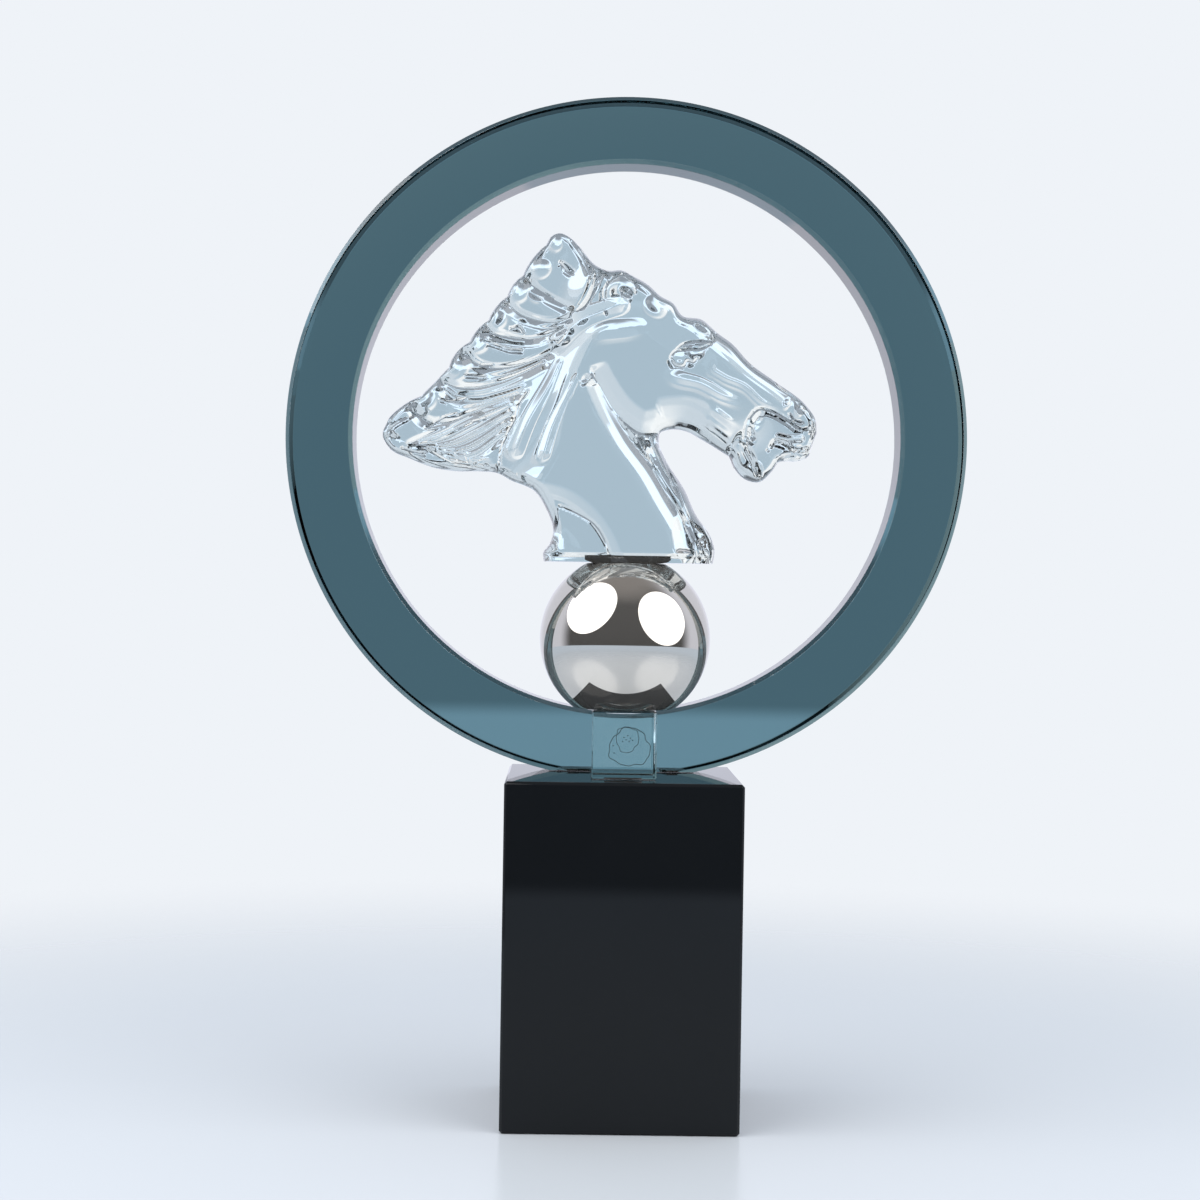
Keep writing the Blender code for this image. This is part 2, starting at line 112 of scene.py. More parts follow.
class Shading:
    """A node tree under construction."""

    def __init__(self, tree: bpy.types.NodeTree) -> None:
        """Start from an empty tree."""
        self.tree = tree
        tree.nodes.clear()

    def node(self, kind: str, settings: dict[str, Any] | None = None,
             inputs: dict[str | int, Any] | None = None) -> bpy.types.Node:
        """Add a node.

        Args:
            kind: the node's type name.
            settings: its attributes, set first.
            inputs: values, Values or sockets, by input name or number.

        Returns:
            The new node.
        """
        node = self.tree.nodes.new(kind)
        for name, value in (settings or {}).items():
            setattr(node, name, value)
        for name, value in (inputs or {}).items():
            socket = node.inputs[name]
            if isinstance(value, Value):
                value = value.socket
            if isinstance(value, bpy.types.NodeSocket):
                self.tree.links.new(value, socket)
            elif value is not None:
                socket.default_value = value
        return node

    def value(self, kind: str, output: str | int = 0,
              settings: dict[str, Any] | None = None,
              inputs: dict[str | int, Any] | None = None) -> Value:
        """Add a node and return one of its outputs for expressions.

        Args:
            kind: the node's type name.
            output: the output's name or number.
            settings: its attributes.
            inputs: values, Values or sockets, by input name or number.

        Returns:
            The output.
        """
        return Value(self, self.node(kind, settings, inputs).outputs[output])

    def place(self) -> Value:
        """Return the point being shaded, in object coordinates."""
        return self.value("ShaderNodeTexCoord", "Object")

    def noise(self, scale: float, detail: float, roughness: float) -> Value:
        """Return procedural noise, 0 to 1, at a scale per metre."""
        return self.value("ShaderNodeTexNoise", 0, None,
                          {"Vector": self.place(), "Scale": scale, "Detail": detail,
                           "Roughness": roughness})

    def mix_colour(self, factor: Any, first: Any, second: Any) -> Value:
        """Mix two colours.

        Args:
            factor: how much of the second there is, from 0 to 1.
            first: a colour or a Value.
            second: a colour or a Value.

        Returns:
            The mixed colour.
        """
        node = self.node("ShaderNodeMix", {"data_type": "RGBA"})
        for name, value in (("Factor", factor), ("A", first), ("B", second)):
            kind = "VALUE" if name == "Factor" else "RGBA"
            socket = next(s for s in node.inputs if s.name == name and s.type == kind)
            if isinstance(value, Value):
                self.tree.links.new(value.socket, socket)
            else:
                socket.default_value = value
        return Value(self, next(s for s in node.outputs if s.type == "RGBA"))

    def step(self, value: Value, start: float, end: float) -> Value:
        """Return a smooth rise from 0 to 1 as a value goes from start to end."""
        return self.value("ShaderNodeMapRange", 0, {"interpolation_type": "SMOOTHSTEP"},
                          {"Value": value, "From Min": start, "From Max": end})

    def bump(self, height: Value, distance: float) -> Value:
        """Return the normal of a surface raised by a height."""
        return self.value("ShaderNodeBump", 0, None,
                          {"Height": height, "Distance": distance})


Colour = tuple[float, float, float]


@dataclass(frozen=True)
class GlassFinish:
    """A polished glass, clear or tinted through its depth.

    colour is what crosses the surface, depth_colour and density tint the
    light along its way inside, and wave is the height of the slight ripple
    that pressing or polishing leaves, in metres.
    """

    name: str
    depth_colour: Colour
    density: float
    ior: float = 1.52
    colour: Colour = (1.0, 1.0, 1.0)
    haze: float = 0.004
    smear: float = 0.012
    wave: float = 0.0
    wave_scale: float = 60.0

    def material(self) -> bpy.types.Material:
        """Return the glass material, lamps shining through it."""
        material = bpy.data.materials.new(self.name)
        material.use_nodes = True
        shading = Shading(material.node_tree)
        smudge = shading.noise(34.0, 3.0, 0.6)
        roughness = self.haze + self.smear * (smudge > 0.62) * (smudge - 0.62) * 4.0
        tint = shading.mix_colour(smudge, (*self.colour, 1.0),
                                  (*(0.985 * c for c in self.colour), 1.0))
        inputs = {"Base Color": tint, "Roughness": roughness, "IOR": self.ior,
                  "Transmission Weight": 1.0}
        if self.wave > 0:
            ripple = shading.noise(self.wave_scale, 1.0, 0.4)
            inputs["Normal"] = shading.bump(ripple, self.wave)
        glass = shading.node("ShaderNodeBsdfPrincipled", None, inputs)
        clear = shading.node("ShaderNodeBsdfTransparent", None,
                             {"Color": (*(0.90 * c ** 0.5 for c in self.colour), 1.0)})
        lamp = shading.value("ShaderNodeLightPath", "Is Shadow Ray")
        surface = shading.node("ShaderNodeMixShader", None,
                               {0: lamp, 1: glass.outputs[0], 2: clear.outputs[0]})
        depth = shading.node("ShaderNodeVolumeAbsorption", None,
                             {"Color": (*self.depth_colour, 1.0), "Density": self.density})
        shading.node("ShaderNodeOutputMaterial", None,
                     {"Surface": surface.outputs[0], "Volume": depth.outputs[0]})
        return material


@dataclass(frozen=True)
class OpaqueFinish:
    """A polished opaque surface, black glass or a mirror coat."""

    name: str
    colour: Colour
    second: Colour
    metallic: float
    roughness: float
    specular: float = 0.5
    mottle_scale: float = 30.0

    def material(self) -> bpy.types.Material:
        """Return the material, with faint smears in colour and gloss."""
        material = bpy.data.materials.new(self.name)
        material.use_nodes = True
        shading = Shading(material.node_tree)
        mottle = shading.noise(self.mottle_scale, 4.0, 0.6)
        colour = shading.mix_colour(mottle, (*self.colour, 1.0), (*self.second, 1.0))
        roughness = self.roughness * (0.6 + 0.8 * mottle)
        body = shading.node("ShaderNodeBsdfPrincipled", None,
                            {"Base Color": colour, "Metallic": self.metallic,
                             "Roughness": roughness, "Specular IOR Level": self.specular})
        shading.node("ShaderNodeOutputMaterial", None, {"Surface": body.outputs[0]})
        return material


SMOKY_GLASS = GlassFinish("smoky_glass", (0.055, 0.295, 0.345), 100.0, haze=0.0)
HORSE_GLASS = GlassFinish("horse_glass", (0.50, 0.82, 0.88), 3.0, wave=0.00004)
BLOCK_GLASS = GlassFinish("block_glass", (0.30, 0.80, 0.78), 5.0)
GLUE_EDGE = OpaqueFinish("glue_edge", (0.035, 0.075, 0.090), (0.10, 0.17, 0.20),
                         0.0, 0.3, mottle_scale=500.0)
# Dark set glue, used also for the painted shade at the ends of the ring's foot.
DARK_GLUE_AND_SHADE = OpaqueFinish("dark_glue_and_painted_shade", (0.02, 0.019, 0.018), (0.05, 0.047, 0.043),
                         0.0, 0.25, mottle_scale=300.0)
BLACK_GLASS = OpaqueFinish("black_glass", (0.0052, 0.0062, 0.0074), (0.0066, 0.0076, 0.0090),
                           0.0, 0.012, specular=0.20)
MIRROR_COAT = OpaqueFinish("mirror_coat", (0.70, 0.675, 0.64), (0.64, 0.615, 0.575),
                           0.93, 0.02, mottle_scale=60.0)


def finished(name: str, bm: bmesh.types.BMesh, material: bpy.types.Material,
             slot: str, nodes: Iterable[str] = (), crease: float = 30.0) -> bpy.types.Object:
    """Turn a bmesh into a piece of the trophy.

    Args:
        name: the piece's name.
        bm: its mesh, in place, which is freed here.
        material: its finish.
        slot: a material slot's name; not used.
        nodes: the solids that it stands for.
        crease: edges sharper than this angle, in degrees, stay sharp.

    Returns:
        The new object, riding on the trophy's one body.
    """
    mesh = bpy.data.meshes.new(name)
    bm.to_mesh(mesh)
    bm.free()
    mesh.shade_smooth()
    mesh.set_sharp_from_angle(angle=math.radians(crease))
    mesh.materials.append(material)
    piece = bpy.data.objects.new(name, mesh)
    bpy.context.scene.collection.objects.link(piece)
    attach(piece, "root")
    if nodes:
        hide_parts(*nodes)
    return piece


def corners(node: str) -> tuple[Vector, Vector]:
    """Return the lowest and the highest corner of a solid of the frame."""
    low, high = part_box(node)
    return Vector(low), Vector(high)


def cut_flat(bm: bmesh.types.BMesh, height: float, side: int) -> list[bmesh.types.BMEdge]:
    """Cut a mesh level and close the cut.

    Args:
        bm: the mesh.
        height: where it is cut.
        side: 1 takes away what is above the cut, -1 what is below.

    Returns:
        The edges round the new flat.
    """
    cut = bmesh.ops.bisect_plane(bm, geom=bm.verts[:] + bm.edges[:] + bm.faces[:],
                                 plane_co=(0, 0, height), plane_no=(0, 0, side),
                                 clear_outer=True)
    rim = [e for e in cut["geom_cut"] if isinstance(e, bmesh.types.BMEdge)]
    bmesh.ops.contextual_create(bm, geom=rim)
    return rim


def bevel(bm: bmesh.types.BMesh, edges: Sequence[bmesh.types.BMEdge],
          width: float, segments: int = 1) -> None:
    """Bevel the given edges by a width."""
    bmesh.ops.bevel(bm, geom=list(edges), offset=width, segments=segments,
                    affect="EDGES", profile=0.5, material=-1)


class Sides:
    """Sizes of the solids that their boxes don't tell, in metres."""

    ball_foot_radius = 17.5 * MM
    ring_band = 24.0 * MM
    ring_chamfer = 1.4 * MM
    block_chamfer = 0.5 * MM
    base_chamfer = 1.0 * MM


@dataclass
class Cuboid:
    """A polished cuboid of glass with chamfered edges."""

    node: str
    slot: str
    chamfer: float
    easing: float = 0.1 * MM

    def mesh(self) -> bmesh.types.BMesh:
        """Return the cuboid in its solid's place, its chamfers eased."""
        low, high = corners(self.node)
        bm = bmesh.new()
        bmesh.ops.create_cube(bm, size=1.0)
        bmesh.ops.scale(bm, vec=high - low, verts=bm.verts)
        bmesh.ops.translate(bm, vec=(low + high) / 2, verts=bm.verts)
        bevel(bm, bm.edges, self.chamfer)
        turns = [e for e in bm.edges if e.calc_face_angle(0.0) > math.radians(20)]
        bevel(bm, turns, self.easing, 2)
        return bm

    def build(self, finish: "GlassFinish | OpaqueFinish") -> bpy.types.Object:
        """Add the cuboid with its finish."""
        return finished(self.node + "_body", self.mesh(), finish.material(),
                        self.slot, [self.node], crease=12.0)


@dataclass
class Ring:
    """The upright smoky ring, turned, chamfered and cut flat at its foot."""

    node: str = "ring"
    slot: str = "smoky_glass"
    easing: float = 0.12 * MM
    steps: int = 320

    def section(self, radius: float, half: float) -> bmesh.types.BMesh:
        """Return the outline of the ring's section, right of the origin.

        Args:
            radius: the ring's outer radius.
            half: half of its thickness.
        """
        bm = bmesh.new()
        inner = radius - Sides.ring_band
        places = ((inner, -half), (radius, -half), (radius, half), (inner, half))
        bm.faces.new([bm.verts.new((x, y, 0.0)) for x, y in places])
        for width, segments in ((Sides.ring_chamfer, 1), (self.easing, 2)):
            bmesh.ops.bevel(bm, geom=bm.verts[:], offset=width, segments=segments,
                            affect="VERTICES", profile=0.5, material=-1)
        bmesh.ops.delete(bm, geom=bm.faces[:], context="FACES_ONLY")
        return bm

    def build(self) -> bpy.types.Object:
        """Turn the section about the ring's axis, cut the foot, add the ring."""
        low, high = corners(self.node)
        radius = (high.x - low.x) / 2
        centre = Vector(((low.x + high.x) / 2, (low.y + high.y) / 2, high.z - radius))
        bm = self.section(radius, (high.y - low.y) / 2)
        bmesh.ops.spin(bm, geom=bm.verts[:] + bm.edges[:], cent=(0, 0, 0), axis=(0, 1, 0),
                       angle=math.tau, steps=self.steps, use_merge=True)
        bmesh.ops.remove_doubles(bm, verts=bm.verts[:], dist=1e-6)
        bmesh.ops.translate(bm, vec=centre, verts=bm.verts[:])
        cut_flat(bm, low.z, -1)
        bmesh.ops.recalc_face_normals(bm, faces=bm.faces[:])
        return finished("ring_body", bm, SMOKY_GLASS.material(), self.slot,
                        [self.node], crease=12.0)


@dataclass
class Ball:
    """The mirror ball with a flat at its foot and one under the horse."""

    node: str = "ball"
    slot: str = "mirror_ball"
    easing: float = 0.4 * MM

    def build(self) -> bpy.types.Object:
        """Cut a fine sphere flat below and above, ease the rims and add it."""
        low, high = corners(self.node)
        radius = (high.x - low.x) / 2
        drop = math.sqrt(radius ** 2 - Sides.ball_foot_radius ** 2)
        centre = Vector(((low.x + high.x) / 2, (low.y + high.y) / 2, low.z + drop))
        bm = bmesh.new()
        bmesh.ops.create_uvsphere(bm, u_segments=144, v_segments=96, radius=radius)
        bmesh.ops.translate(bm, vec=centre, verts=bm.verts[:])
        for height, side in ((low.z, -1), (high.z, 1)):
            bevel(bm, cut_flat(bm, height, side), self.easing, 3)
        bmesh.ops.recalc_face_normals(bm, faces=bm.faces[:])
        return finished("ball_body", bm, MIRROR_COAT.material(), self.slot,
                        [self.node], crease=40.0)


def smooth_line(points: Sequence[Point], steps: int = 12) -> np.ndarray:
    """Return the smooth curve through the points, a knot at every chord."""
    knots = np.array(points, dtype=float)
    chord = np.hypot(*np.diff(knots, axis=0).T)
    at = np.concatenate([[0.0], np.cumsum(chord)])
    slope = np.gradient(knots, at, axis=0)
    t = (np.arange(steps) / steps)[:, None]
    pieces = []
    for i, length in enumerate(chord):
        start = (2 * t ** 3 - 3 * t ** 2 + 1) * knots[i]
        start += (t ** 3 - 2 * t ** 2 + t) * length * slope[i]
        end = (3 * t ** 2 - 2 * t ** 3) * knots[i + 1]
        end += (t ** 3 - t ** 2) * length * slope[i + 1]
        pieces.append(start + end)
    return np.vstack(pieces + [knots[-1:]])


def along(line: np.ndarray, shares: Sequence[float] | np.ndarray) -> np.ndarray:
    """Return the points at the given shares of a line's length."""
    run = np.concatenate([[0.0], np.cumsum(np.hypot(*np.diff(line, axis=0).T))])
    at = np.asarray(shares) * run[-1]
    return np.stack([np.interp(at, run, line[:, k]) for k in (0, 1)], axis=1)


def even(line: np.ndarray, spacing: float) -> np.ndarray:
    """Return the line with even steps of about the given spacing."""
    length = np.hypot(*np.diff(line, axis=0).T).sum()
    return along(line, np.linspace(0.0, 1.0, max(2, round(length / spacing)) + 1))


def in_blocks(measure: Callable[[np.ndarray], np.ndarray], points: np.ndarray,
              size: int = 2000) -> np.ndarray:
    """Return a measure of many points, taken a block at a time."""
    return np.concatenate([measure(points[i:i + size])
                           for i in range(0, len(points), size)], axis=-1)


def distance(points: np.ndarray, line: np.ndarray) -> np.ndarray:
    """Measure points against a line.

    Args:
        points: rows of x and z.
        line: the line's points, in order.

    Returns:
        Three rows: each point's distance to the line, the side it is on
        (1 on the left), and its share of the way along the line's chords.
    """
    start, step = line[:-1], np.diff(line, axis=0)

    def measure(block: np.ndarray) -> np.ndarray:
        """Measure one block of points."""
        rel = block[:, None, :] - start[None]
        share = np.clip((rel * step).sum(2) / (step ** 2).sum(1), 0.0, 1.0)
        off = rel - share[..., None] * step
        reach = (off ** 2).sum(2)
        best = reach.argmin(axis=1)
        rows = np.arange(len(block))
        cross = step[best, 0] * rel[rows, best, 1] - step[best, 1] * rel[rows, best, 0]
        return np.stack([np.sqrt(reach[rows, best]), np.sign(cross),
                         (best + share[rows, best]) / len(step)])

    return in_blocks(measure, points)


def within(points: np.ndarray, loop: np.ndarray) -> np.ndarray:
    """Return which points lie inside the closed loop."""
    a, b = loop, np.roll(loop, -1, axis=0)
    rise = np.where(b[:, 1] == a[:, 1], 1.0, b[:, 1] - a[:, 1])

    def measure(block: np.ndarray) -> np.ndarray:
        """Count the loop's crossings to the right of each point."""
        height = block[:, 1:2]
        crossing = (a[None, :, 1] > height) != (b[None, :, 1] > height)
        at = a[:, 0] + (height - a[:, 1]) / rise * (b[:, 0] - a[:, 0])
        return (crossing & (block[:, 0:1] < at)).sum(axis=1) % 2 == 1

    return in_blocks(measure, points)


def bell(t: np.ndarray) -> np.ndarray:
    """Return a smooth hump, 1 at 0 and 0 from 1 on."""
    return (1 - np.clip(np.abs(t), 0, 1) ** 2) ** 2


def slope(t: np.ndarray) -> np.ndarray:
    """Return a plane fall from 1 at 0 to 0 at 1, eased at both ends."""
    ease = 0.10
    left = 1 - np.hypot(t, ease)
    return np.where(left < ease, (np.clip(left, -ease, ease) + ease) ** 2 / (4 * ease), left)


def ramp(t: np.ndarray) -> np.ndarray:
    """Return a smooth rise from 0 at 0 to 1 at 1."""
    t = np.clip(t, 0, 1)
    return t * t * (3 - 2 * t)


@dataclass(frozen=True)
class Stroke:
    """A raised or sunk line of the carving, with a plane slope on either side.

    line runs through its points. start and end give, at its two ends, the
    width of the left slope, the width of the right slope and how far the line
    stands up, or how deep it goes when below zero. fade is the share of its
    length over which it rises from and sinks to nothing.
    """

    line: tuple[Point, ...]
    start: tuple[float, float, float]
    end: tuple[float, float, float]
    fade: float = 0.06


@dataclass(frozen=True)
class Swelling:
    """A round swelling of the carving, or a hollow when its height is below zero."""

    centre: Point
    half_length: float
    half_breadth: float
    tilt: float
    height: float


@dataclass(frozen=True)
class EnlargedCrop:
    """A crop of the photograph, enlarged 4 times, off which places are read.

    corner is where its upper left corner lies on the horse head's plane, and
    across and down are the ways that one pixel of it runs right and down, all
    in millimetres of x and z.
    """

    corner: Point
    across: Point
    down: Point

    def line(self, *pixels: Point) -> tuple[Point, ...]:
        """Return places that were read in pixels, in millimetres."""
        return tuple(tuple(round(self.corner[k] + self.across[k] * x + self.down[k] * y, 1)
                           for k in (0, 1)) for x, y in pixels)


PHOTO_CROP = EnlargedCrop((-92.048, 118.488), (0.08794, 0.0014473), (0.0013945, -0.08788))


@dataclass
class Outline:
    """The horse head's outline in millimetres, from the foot's right end up."""

    poll_to_muzzle: tuple[Point, ...] = (
        (-30.1, 110.7), (-27.8, 114.3), (-24.9, 115.2), (-21.8, 114.0),
        (-18.4, 110.9), (-11.6, 103.7), (-7.8, 102.2), (-3.6, 102.5),
        (1.0, 100.4), (6.4, 97.3), (10.4, 93.8), (15.3, 91.0), (18.3, 87.0),
        (24.9, 85.8), (30.6, 81.2), (35.8, 77.5), (42.2, 70.8), (51.0, 64.6),
        (62.5, 56.0), (65.8, 51.0), (66.2, 46.6))
    lips_and_chin: tuple[Point, ...] = (
        (66.2, 46.6), (64.7, 42.2), (63.3, 38.2), (59.7, 36.6), (52.9, 36.0),
        (51.0, 33.2), (46.0, 29.0), (41.6, 29.9), (37.7, 33.6), (35.6, 38.0))
    jaw_and_throat: tuple[Point, ...] = (
        (35.6, 38.0), (26.3, 43.5), (19.9, 46.7), (14.9, 47.1), (11.2, 45.6),
        (10.8, 42.6), (13.0, 36.9), (20.2, 25.7), (24.1, 17.4), (29.9, 8.8),
        (31.0, 4.7), (30.4, 0.0))
    nape: tuple[Point, ...] = (
        (-29.0, 0.0), (-29.3, 3.0), (-27.1, 6.1), (-26.0, 9.4), (-28.7, 19.0),
        (-32.6, 24.6), (-41.0, 28.3), (-45.6, 30.7), (-52.0, 31.3),
        (-60.0, 31.2), (-67.5, 32.2), (-76.2, 35.2), (-83.7, 38.8),
        (-86.2, 43.2), (-84.2, 49.2))
    mane_edge: tuple[Point, ...] = (
        (-84.2, 49.2), (-75.5, 55.4), (-67.4, 61.6), (-60.6, 71.4),
        (-53.2, 79.8), (-45.4, 89.6), (-38.6, 98.9), (-30.1, 110.7))
    notches: tuple[float, ...] = (0.0, 0.17, 0.34, 0.48, 0.60, 0.73, 0.84, 1.0)
    lobe_swell: float = 1.0

    def lobed_edge(self) -> np.ndarray:
        """Return the mane's edge, swollen into one lobe for each lock."""
        line = even(smooth_line(self.mane_edge), 0.25)
        share = np.linspace(0.0, 1.0, len(line))
        phase = np.interp(share, self.notches, range(len(self.notches)))
        step = np.gradient(line, axis=0)
        outward = np.stack([-step[:, 1], step[:, 0]], axis=1)
        outward /= np.hypot(*outward.T)[:, None]
        swell = self.lobe_swell * np.abs(np.sin(math.pi * phase)) ** 0.7
        return line + outward * swell[:, None]

    def line(self, spacing: float) -> np.ndarray:
        """Return the open outline at a spacing, ending at the foot's left end."""
        stretches = [smooth_line(self.jaw_and_throat)[::-1],
                     smooth_line(self.lips_and_chin)[::-1],
                     smooth_line(self.poll_to_muzzle)[::-1],
                     self.lobed_edge()[::-1], smooth_line(self.nape)[::-1]]
        joined = np.vstack([stretches[0]] + [s[1:] for s in stretches[1:]])
        return even(joined, spacing)


@dataclass
class Carving:
    """The depth of the horse head's carving, in millimetres."""

    outline: Outline = field(default_factory=Outline)
    flat: float = 14.0
    least: float = 3.0
    rim_share: float = 0.25
    relief_start: float = 1.2
    swelling_gain: float = 1.2
    steepness: float = 1.4
    plan: tuple[tuple[float, float, float, float], ...] = (
        (-2.0, 24.0, 16.0, 17.0), (2.0, 62.0, 14.0, 17.0),
        (-14.0, 5.0, 12.0, 14.0), (24.0, 66.0, 12.0, 14.5),
        (15.0, 33.0, 6.0, 11.5), (24.0, 12.0, 6.0, 10.5),
        (18.0, 82.0, 10.0, 12.0), (42.0, 58.0, 11.0, 12.0),
        (60.0, 47.0, 9.0, 10.0), (45.0, 34.0, 8.0, 9.5),
        (-6.0, 92.0, 10.0, 13.0), (-24.0, 108.0, 9.0, 8.5),
        (-36.0, 78.0, 12.0, 9.5), (-54.0, 58.0, 14.0, 9.5),
        (-78.0, 44.0, 10.0, 8.0), (-50.0, 40.0, 10.0, 9.5),
        (-32.0, 45.0, 10.0, 13.0))
    neck: tuple[Stroke, ...] = (
        Stroke(((-23.6, 71.3), (-27.8, 61.5), (-34.6, 49.1), (-40.4, 35.0)),
               (1.0, 1.6, 0.4), (3.2, 3.4, 1.3), 0.10),
        Stroke(((-17.5, 66.5), (-22.4, 56.3), (-26.4, 47.5), (-30.8, 33.0)),
               (0.8, 0.6, 0.3), (3.0, 2.4, 1.2), 0.12),
        Stroke(((5.9, 44.5), (11.3, 35.8), (16.7, 25.3), (22.2, 13.1), (27.7, 2.7)),
               (2.2, 2.2, 0.9), (2.2, 2.2, 0.9)))
    head: tuple[Stroke, ...] = (
        Stroke(((-27.3, 74.5), (-17.6, 83.6), (-8.9, 87.3), (-0.1, 90.1)),
               (4.4, 4.0, 1.5), (3.2, 3.0, 1.1), 0.15),
        Stroke(((-17.5, 78.4), (-8.8, 80.3), (0.0, 81.3), (8.8, 83.2)),
               (3.8, 3.8, 0.6), (3.0, 3.0, 0.45), 0.45),
        Stroke(((11.7, 66.1), (17.9, 64.0), (24.1, 62.6), (32.1, 58.6), (40.9, 55.6)),
               (3.0, 2.6, 0.8), (1.8, 1.8, 0.4), 0.3),
        Stroke(((27.7, 54.4), (32.2, 51.1), (37.5, 48.1)), (2.0, 1.8, 0.5),
               (1.6, 1.6, 0.4), 0.4),
        Stroke(((30.1, 71.7), (28.4, 67.7), (32.0, 65.1), (39.9, 61.8), (46.2, 56.6),
                (53.2, 54.1)), (1.3, 1.3, 0.30), (1.1, 1.1, 0.28), 0.25),
        Stroke(((58.9, 55.9), (60.3, 52.9)), (1.4, 1.4, 0.8), (1.2, 1.2, 0.6), 0.2),
        Stroke(((50.4, 44.8), (56.0, 43.8), (61.5, 44.0)), (1.6, 1.6, 0.8),
               (1.6, 1.6, 0.8), 0.15))
    valleys: tuple[Stroke, ...] = (
        Stroke(((-11.1, 64.4), (-6.6, 54.8), (-0.7, 45.1), (7.8, 34.0), (13.2, 25.3),
                (21.4, 11.4), (25.0, 0.0)), (0.8, 5.5, -1.7), (1.2, 6.0, -2.0), 0.04),
        Stroke(((-13.8, 67.9), (-10.2, 60.1), (-2.1, 49.2), (4.1, 45.2), (9.8, 45.3),
                (14.6, 46.8)), (6.0, 0.9, -1.8), (9.0, 0.9, -2.2)),
        Stroke(((9.8, 45.3), (19.9, 46.7), (26.3, 43.5), (37.0, 38.0)),
               (12.0, 1.0, -2.4), (9.0, 1.0, -2.4), 0.12),
        Stroke(((16.2, 90.5), (24.5, 85.6), (30.4, 81.0), (42.0, 70.7), (51.0, 64.4),
                (61.0, 57.0)), (0.9, 5.2, -1.2), (0.9, 5.0, -1.5), 0.1),
        Stroke(((-10.8, 100.5), (-12.5, 96.1), (-15.1, 90.7), (-17.7, 87.2)),
               (1.3, 1.6, -2.0), (1.0, 1.2, -1.4), 0.1),
        Stroke(((40.7, 41.5), (43.9, 35.5), (45.9, 30.2)), (1.2, 1.4, -1.8),
               (1.2, 1.4, -1.8), 0.1),
        Stroke(((49.1, 39.9), (50.8, 43.0), (54.3, 42.2), (58.7, 40.1), (63.1, 41.0)),
               (0.9, 0.9, -1.1), (0.9, 0.9, -1.1), 0.1),
        Stroke(((52.6, 36.9), (56.1, 38.3), (60.5, 37.9)), (0.9, 0.9, -1.0),
               (0.9, 0.9, -1.0), 0.1))
    mane: tuple[Stroke, ...] = (
        Stroke(PHOTO_CROP.line((640, 215), (655, 262), (700, 300), (760, 335), (815, 362)),
               (1.6, 3.0, -1.3), (1.2, 1.6, -0.7), 0.10),
        Stroke(PHOTO_CROP.line((550, 318), (585, 366), (650, 398), (730, 412), (815, 396)),
               (1.8, 3.2, -1.3), (1.4, 2.0, -1.0), 0.06),
        Stroke(PHOTO_CROP.line((462, 408), (490, 448), (560, 470), (650, 478), (740, 455),
                               (795, 432)),
               (1.8, 3.2, -1.3), (1.4, 2.0, -0.9), 0.06),
        Stroke(PHOTO_CROP.line((376, 505), (410, 560), (480, 590), (570, 588), (660, 562),
                               (745, 520)),
               (1.8, 3.4, -1.4), (1.4, 2.4, -1.1), 0.06),
        Stroke(PHOTO_CROP.line((280, 632), (330, 662), (410, 672), (520, 652), (620, 612),
                               (720, 560)),
               (1.8, 3.4, -1.3), (1.4, 2.4, -1.0), 0.06),
        Stroke(PHOTO_CROP.line((285, 660), (340, 712), (430, 728), (530, 706), (655, 662)),
               (1.6, 3.0, -1.0), (1.2, 2.0, -0.8), 0.12),
        Stroke(PHOTO_CROP.line((172, 728), (220, 795), (310, 808), (410, 772), (510, 728),
                               (635, 685)),
               (2.0, 3.6, -1.5), (1.4, 2.4, -1.0), 0.06),
        Stroke(PHOTO_CROP.line((130, 905), (215, 868), (320, 822), (420, 772), (520, 742),
                               (625, 702)),
               (1.4, 2.2, -0.8), (1.4, 2.2, -0.9), 0.15),
        Stroke(PHOTO_CROP.line((170, 900), (300, 876), (400, 826), (500, 780), (600, 728)),
               (1.4, 2.4, -1.0), (1.4, 2.4, -1.0), 0.12),
        Stroke(PHOTO_CROP.line((255, 912), (340, 902), (440, 858), (530, 802), (590, 770)),
               (1.4, 2.4, -1.0), (1.4, 2.4, -1.0), 0.12),
        Stroke(PHOTO_CROP.line((330, 930), (410, 912), (490, 862), (570, 806)),
               (1.4, 2.2, -0.9), (1.4, 2.2, -0.9), 0.12),
        Stroke(PHOTO_CROP.line((370, 958), (440, 936), (510, 885), (556, 850)),
               (1.3, 2.0, -0.8), (1.3, 2.0, -0.8), 0.12),
        Stroke(PHOTO_CROP.line((230, 905), (290, 935), (390, 962), (500, 968)),
               (1.8, 1.4, -1.0), (1.4, 1.2, -0.8), 0.12))
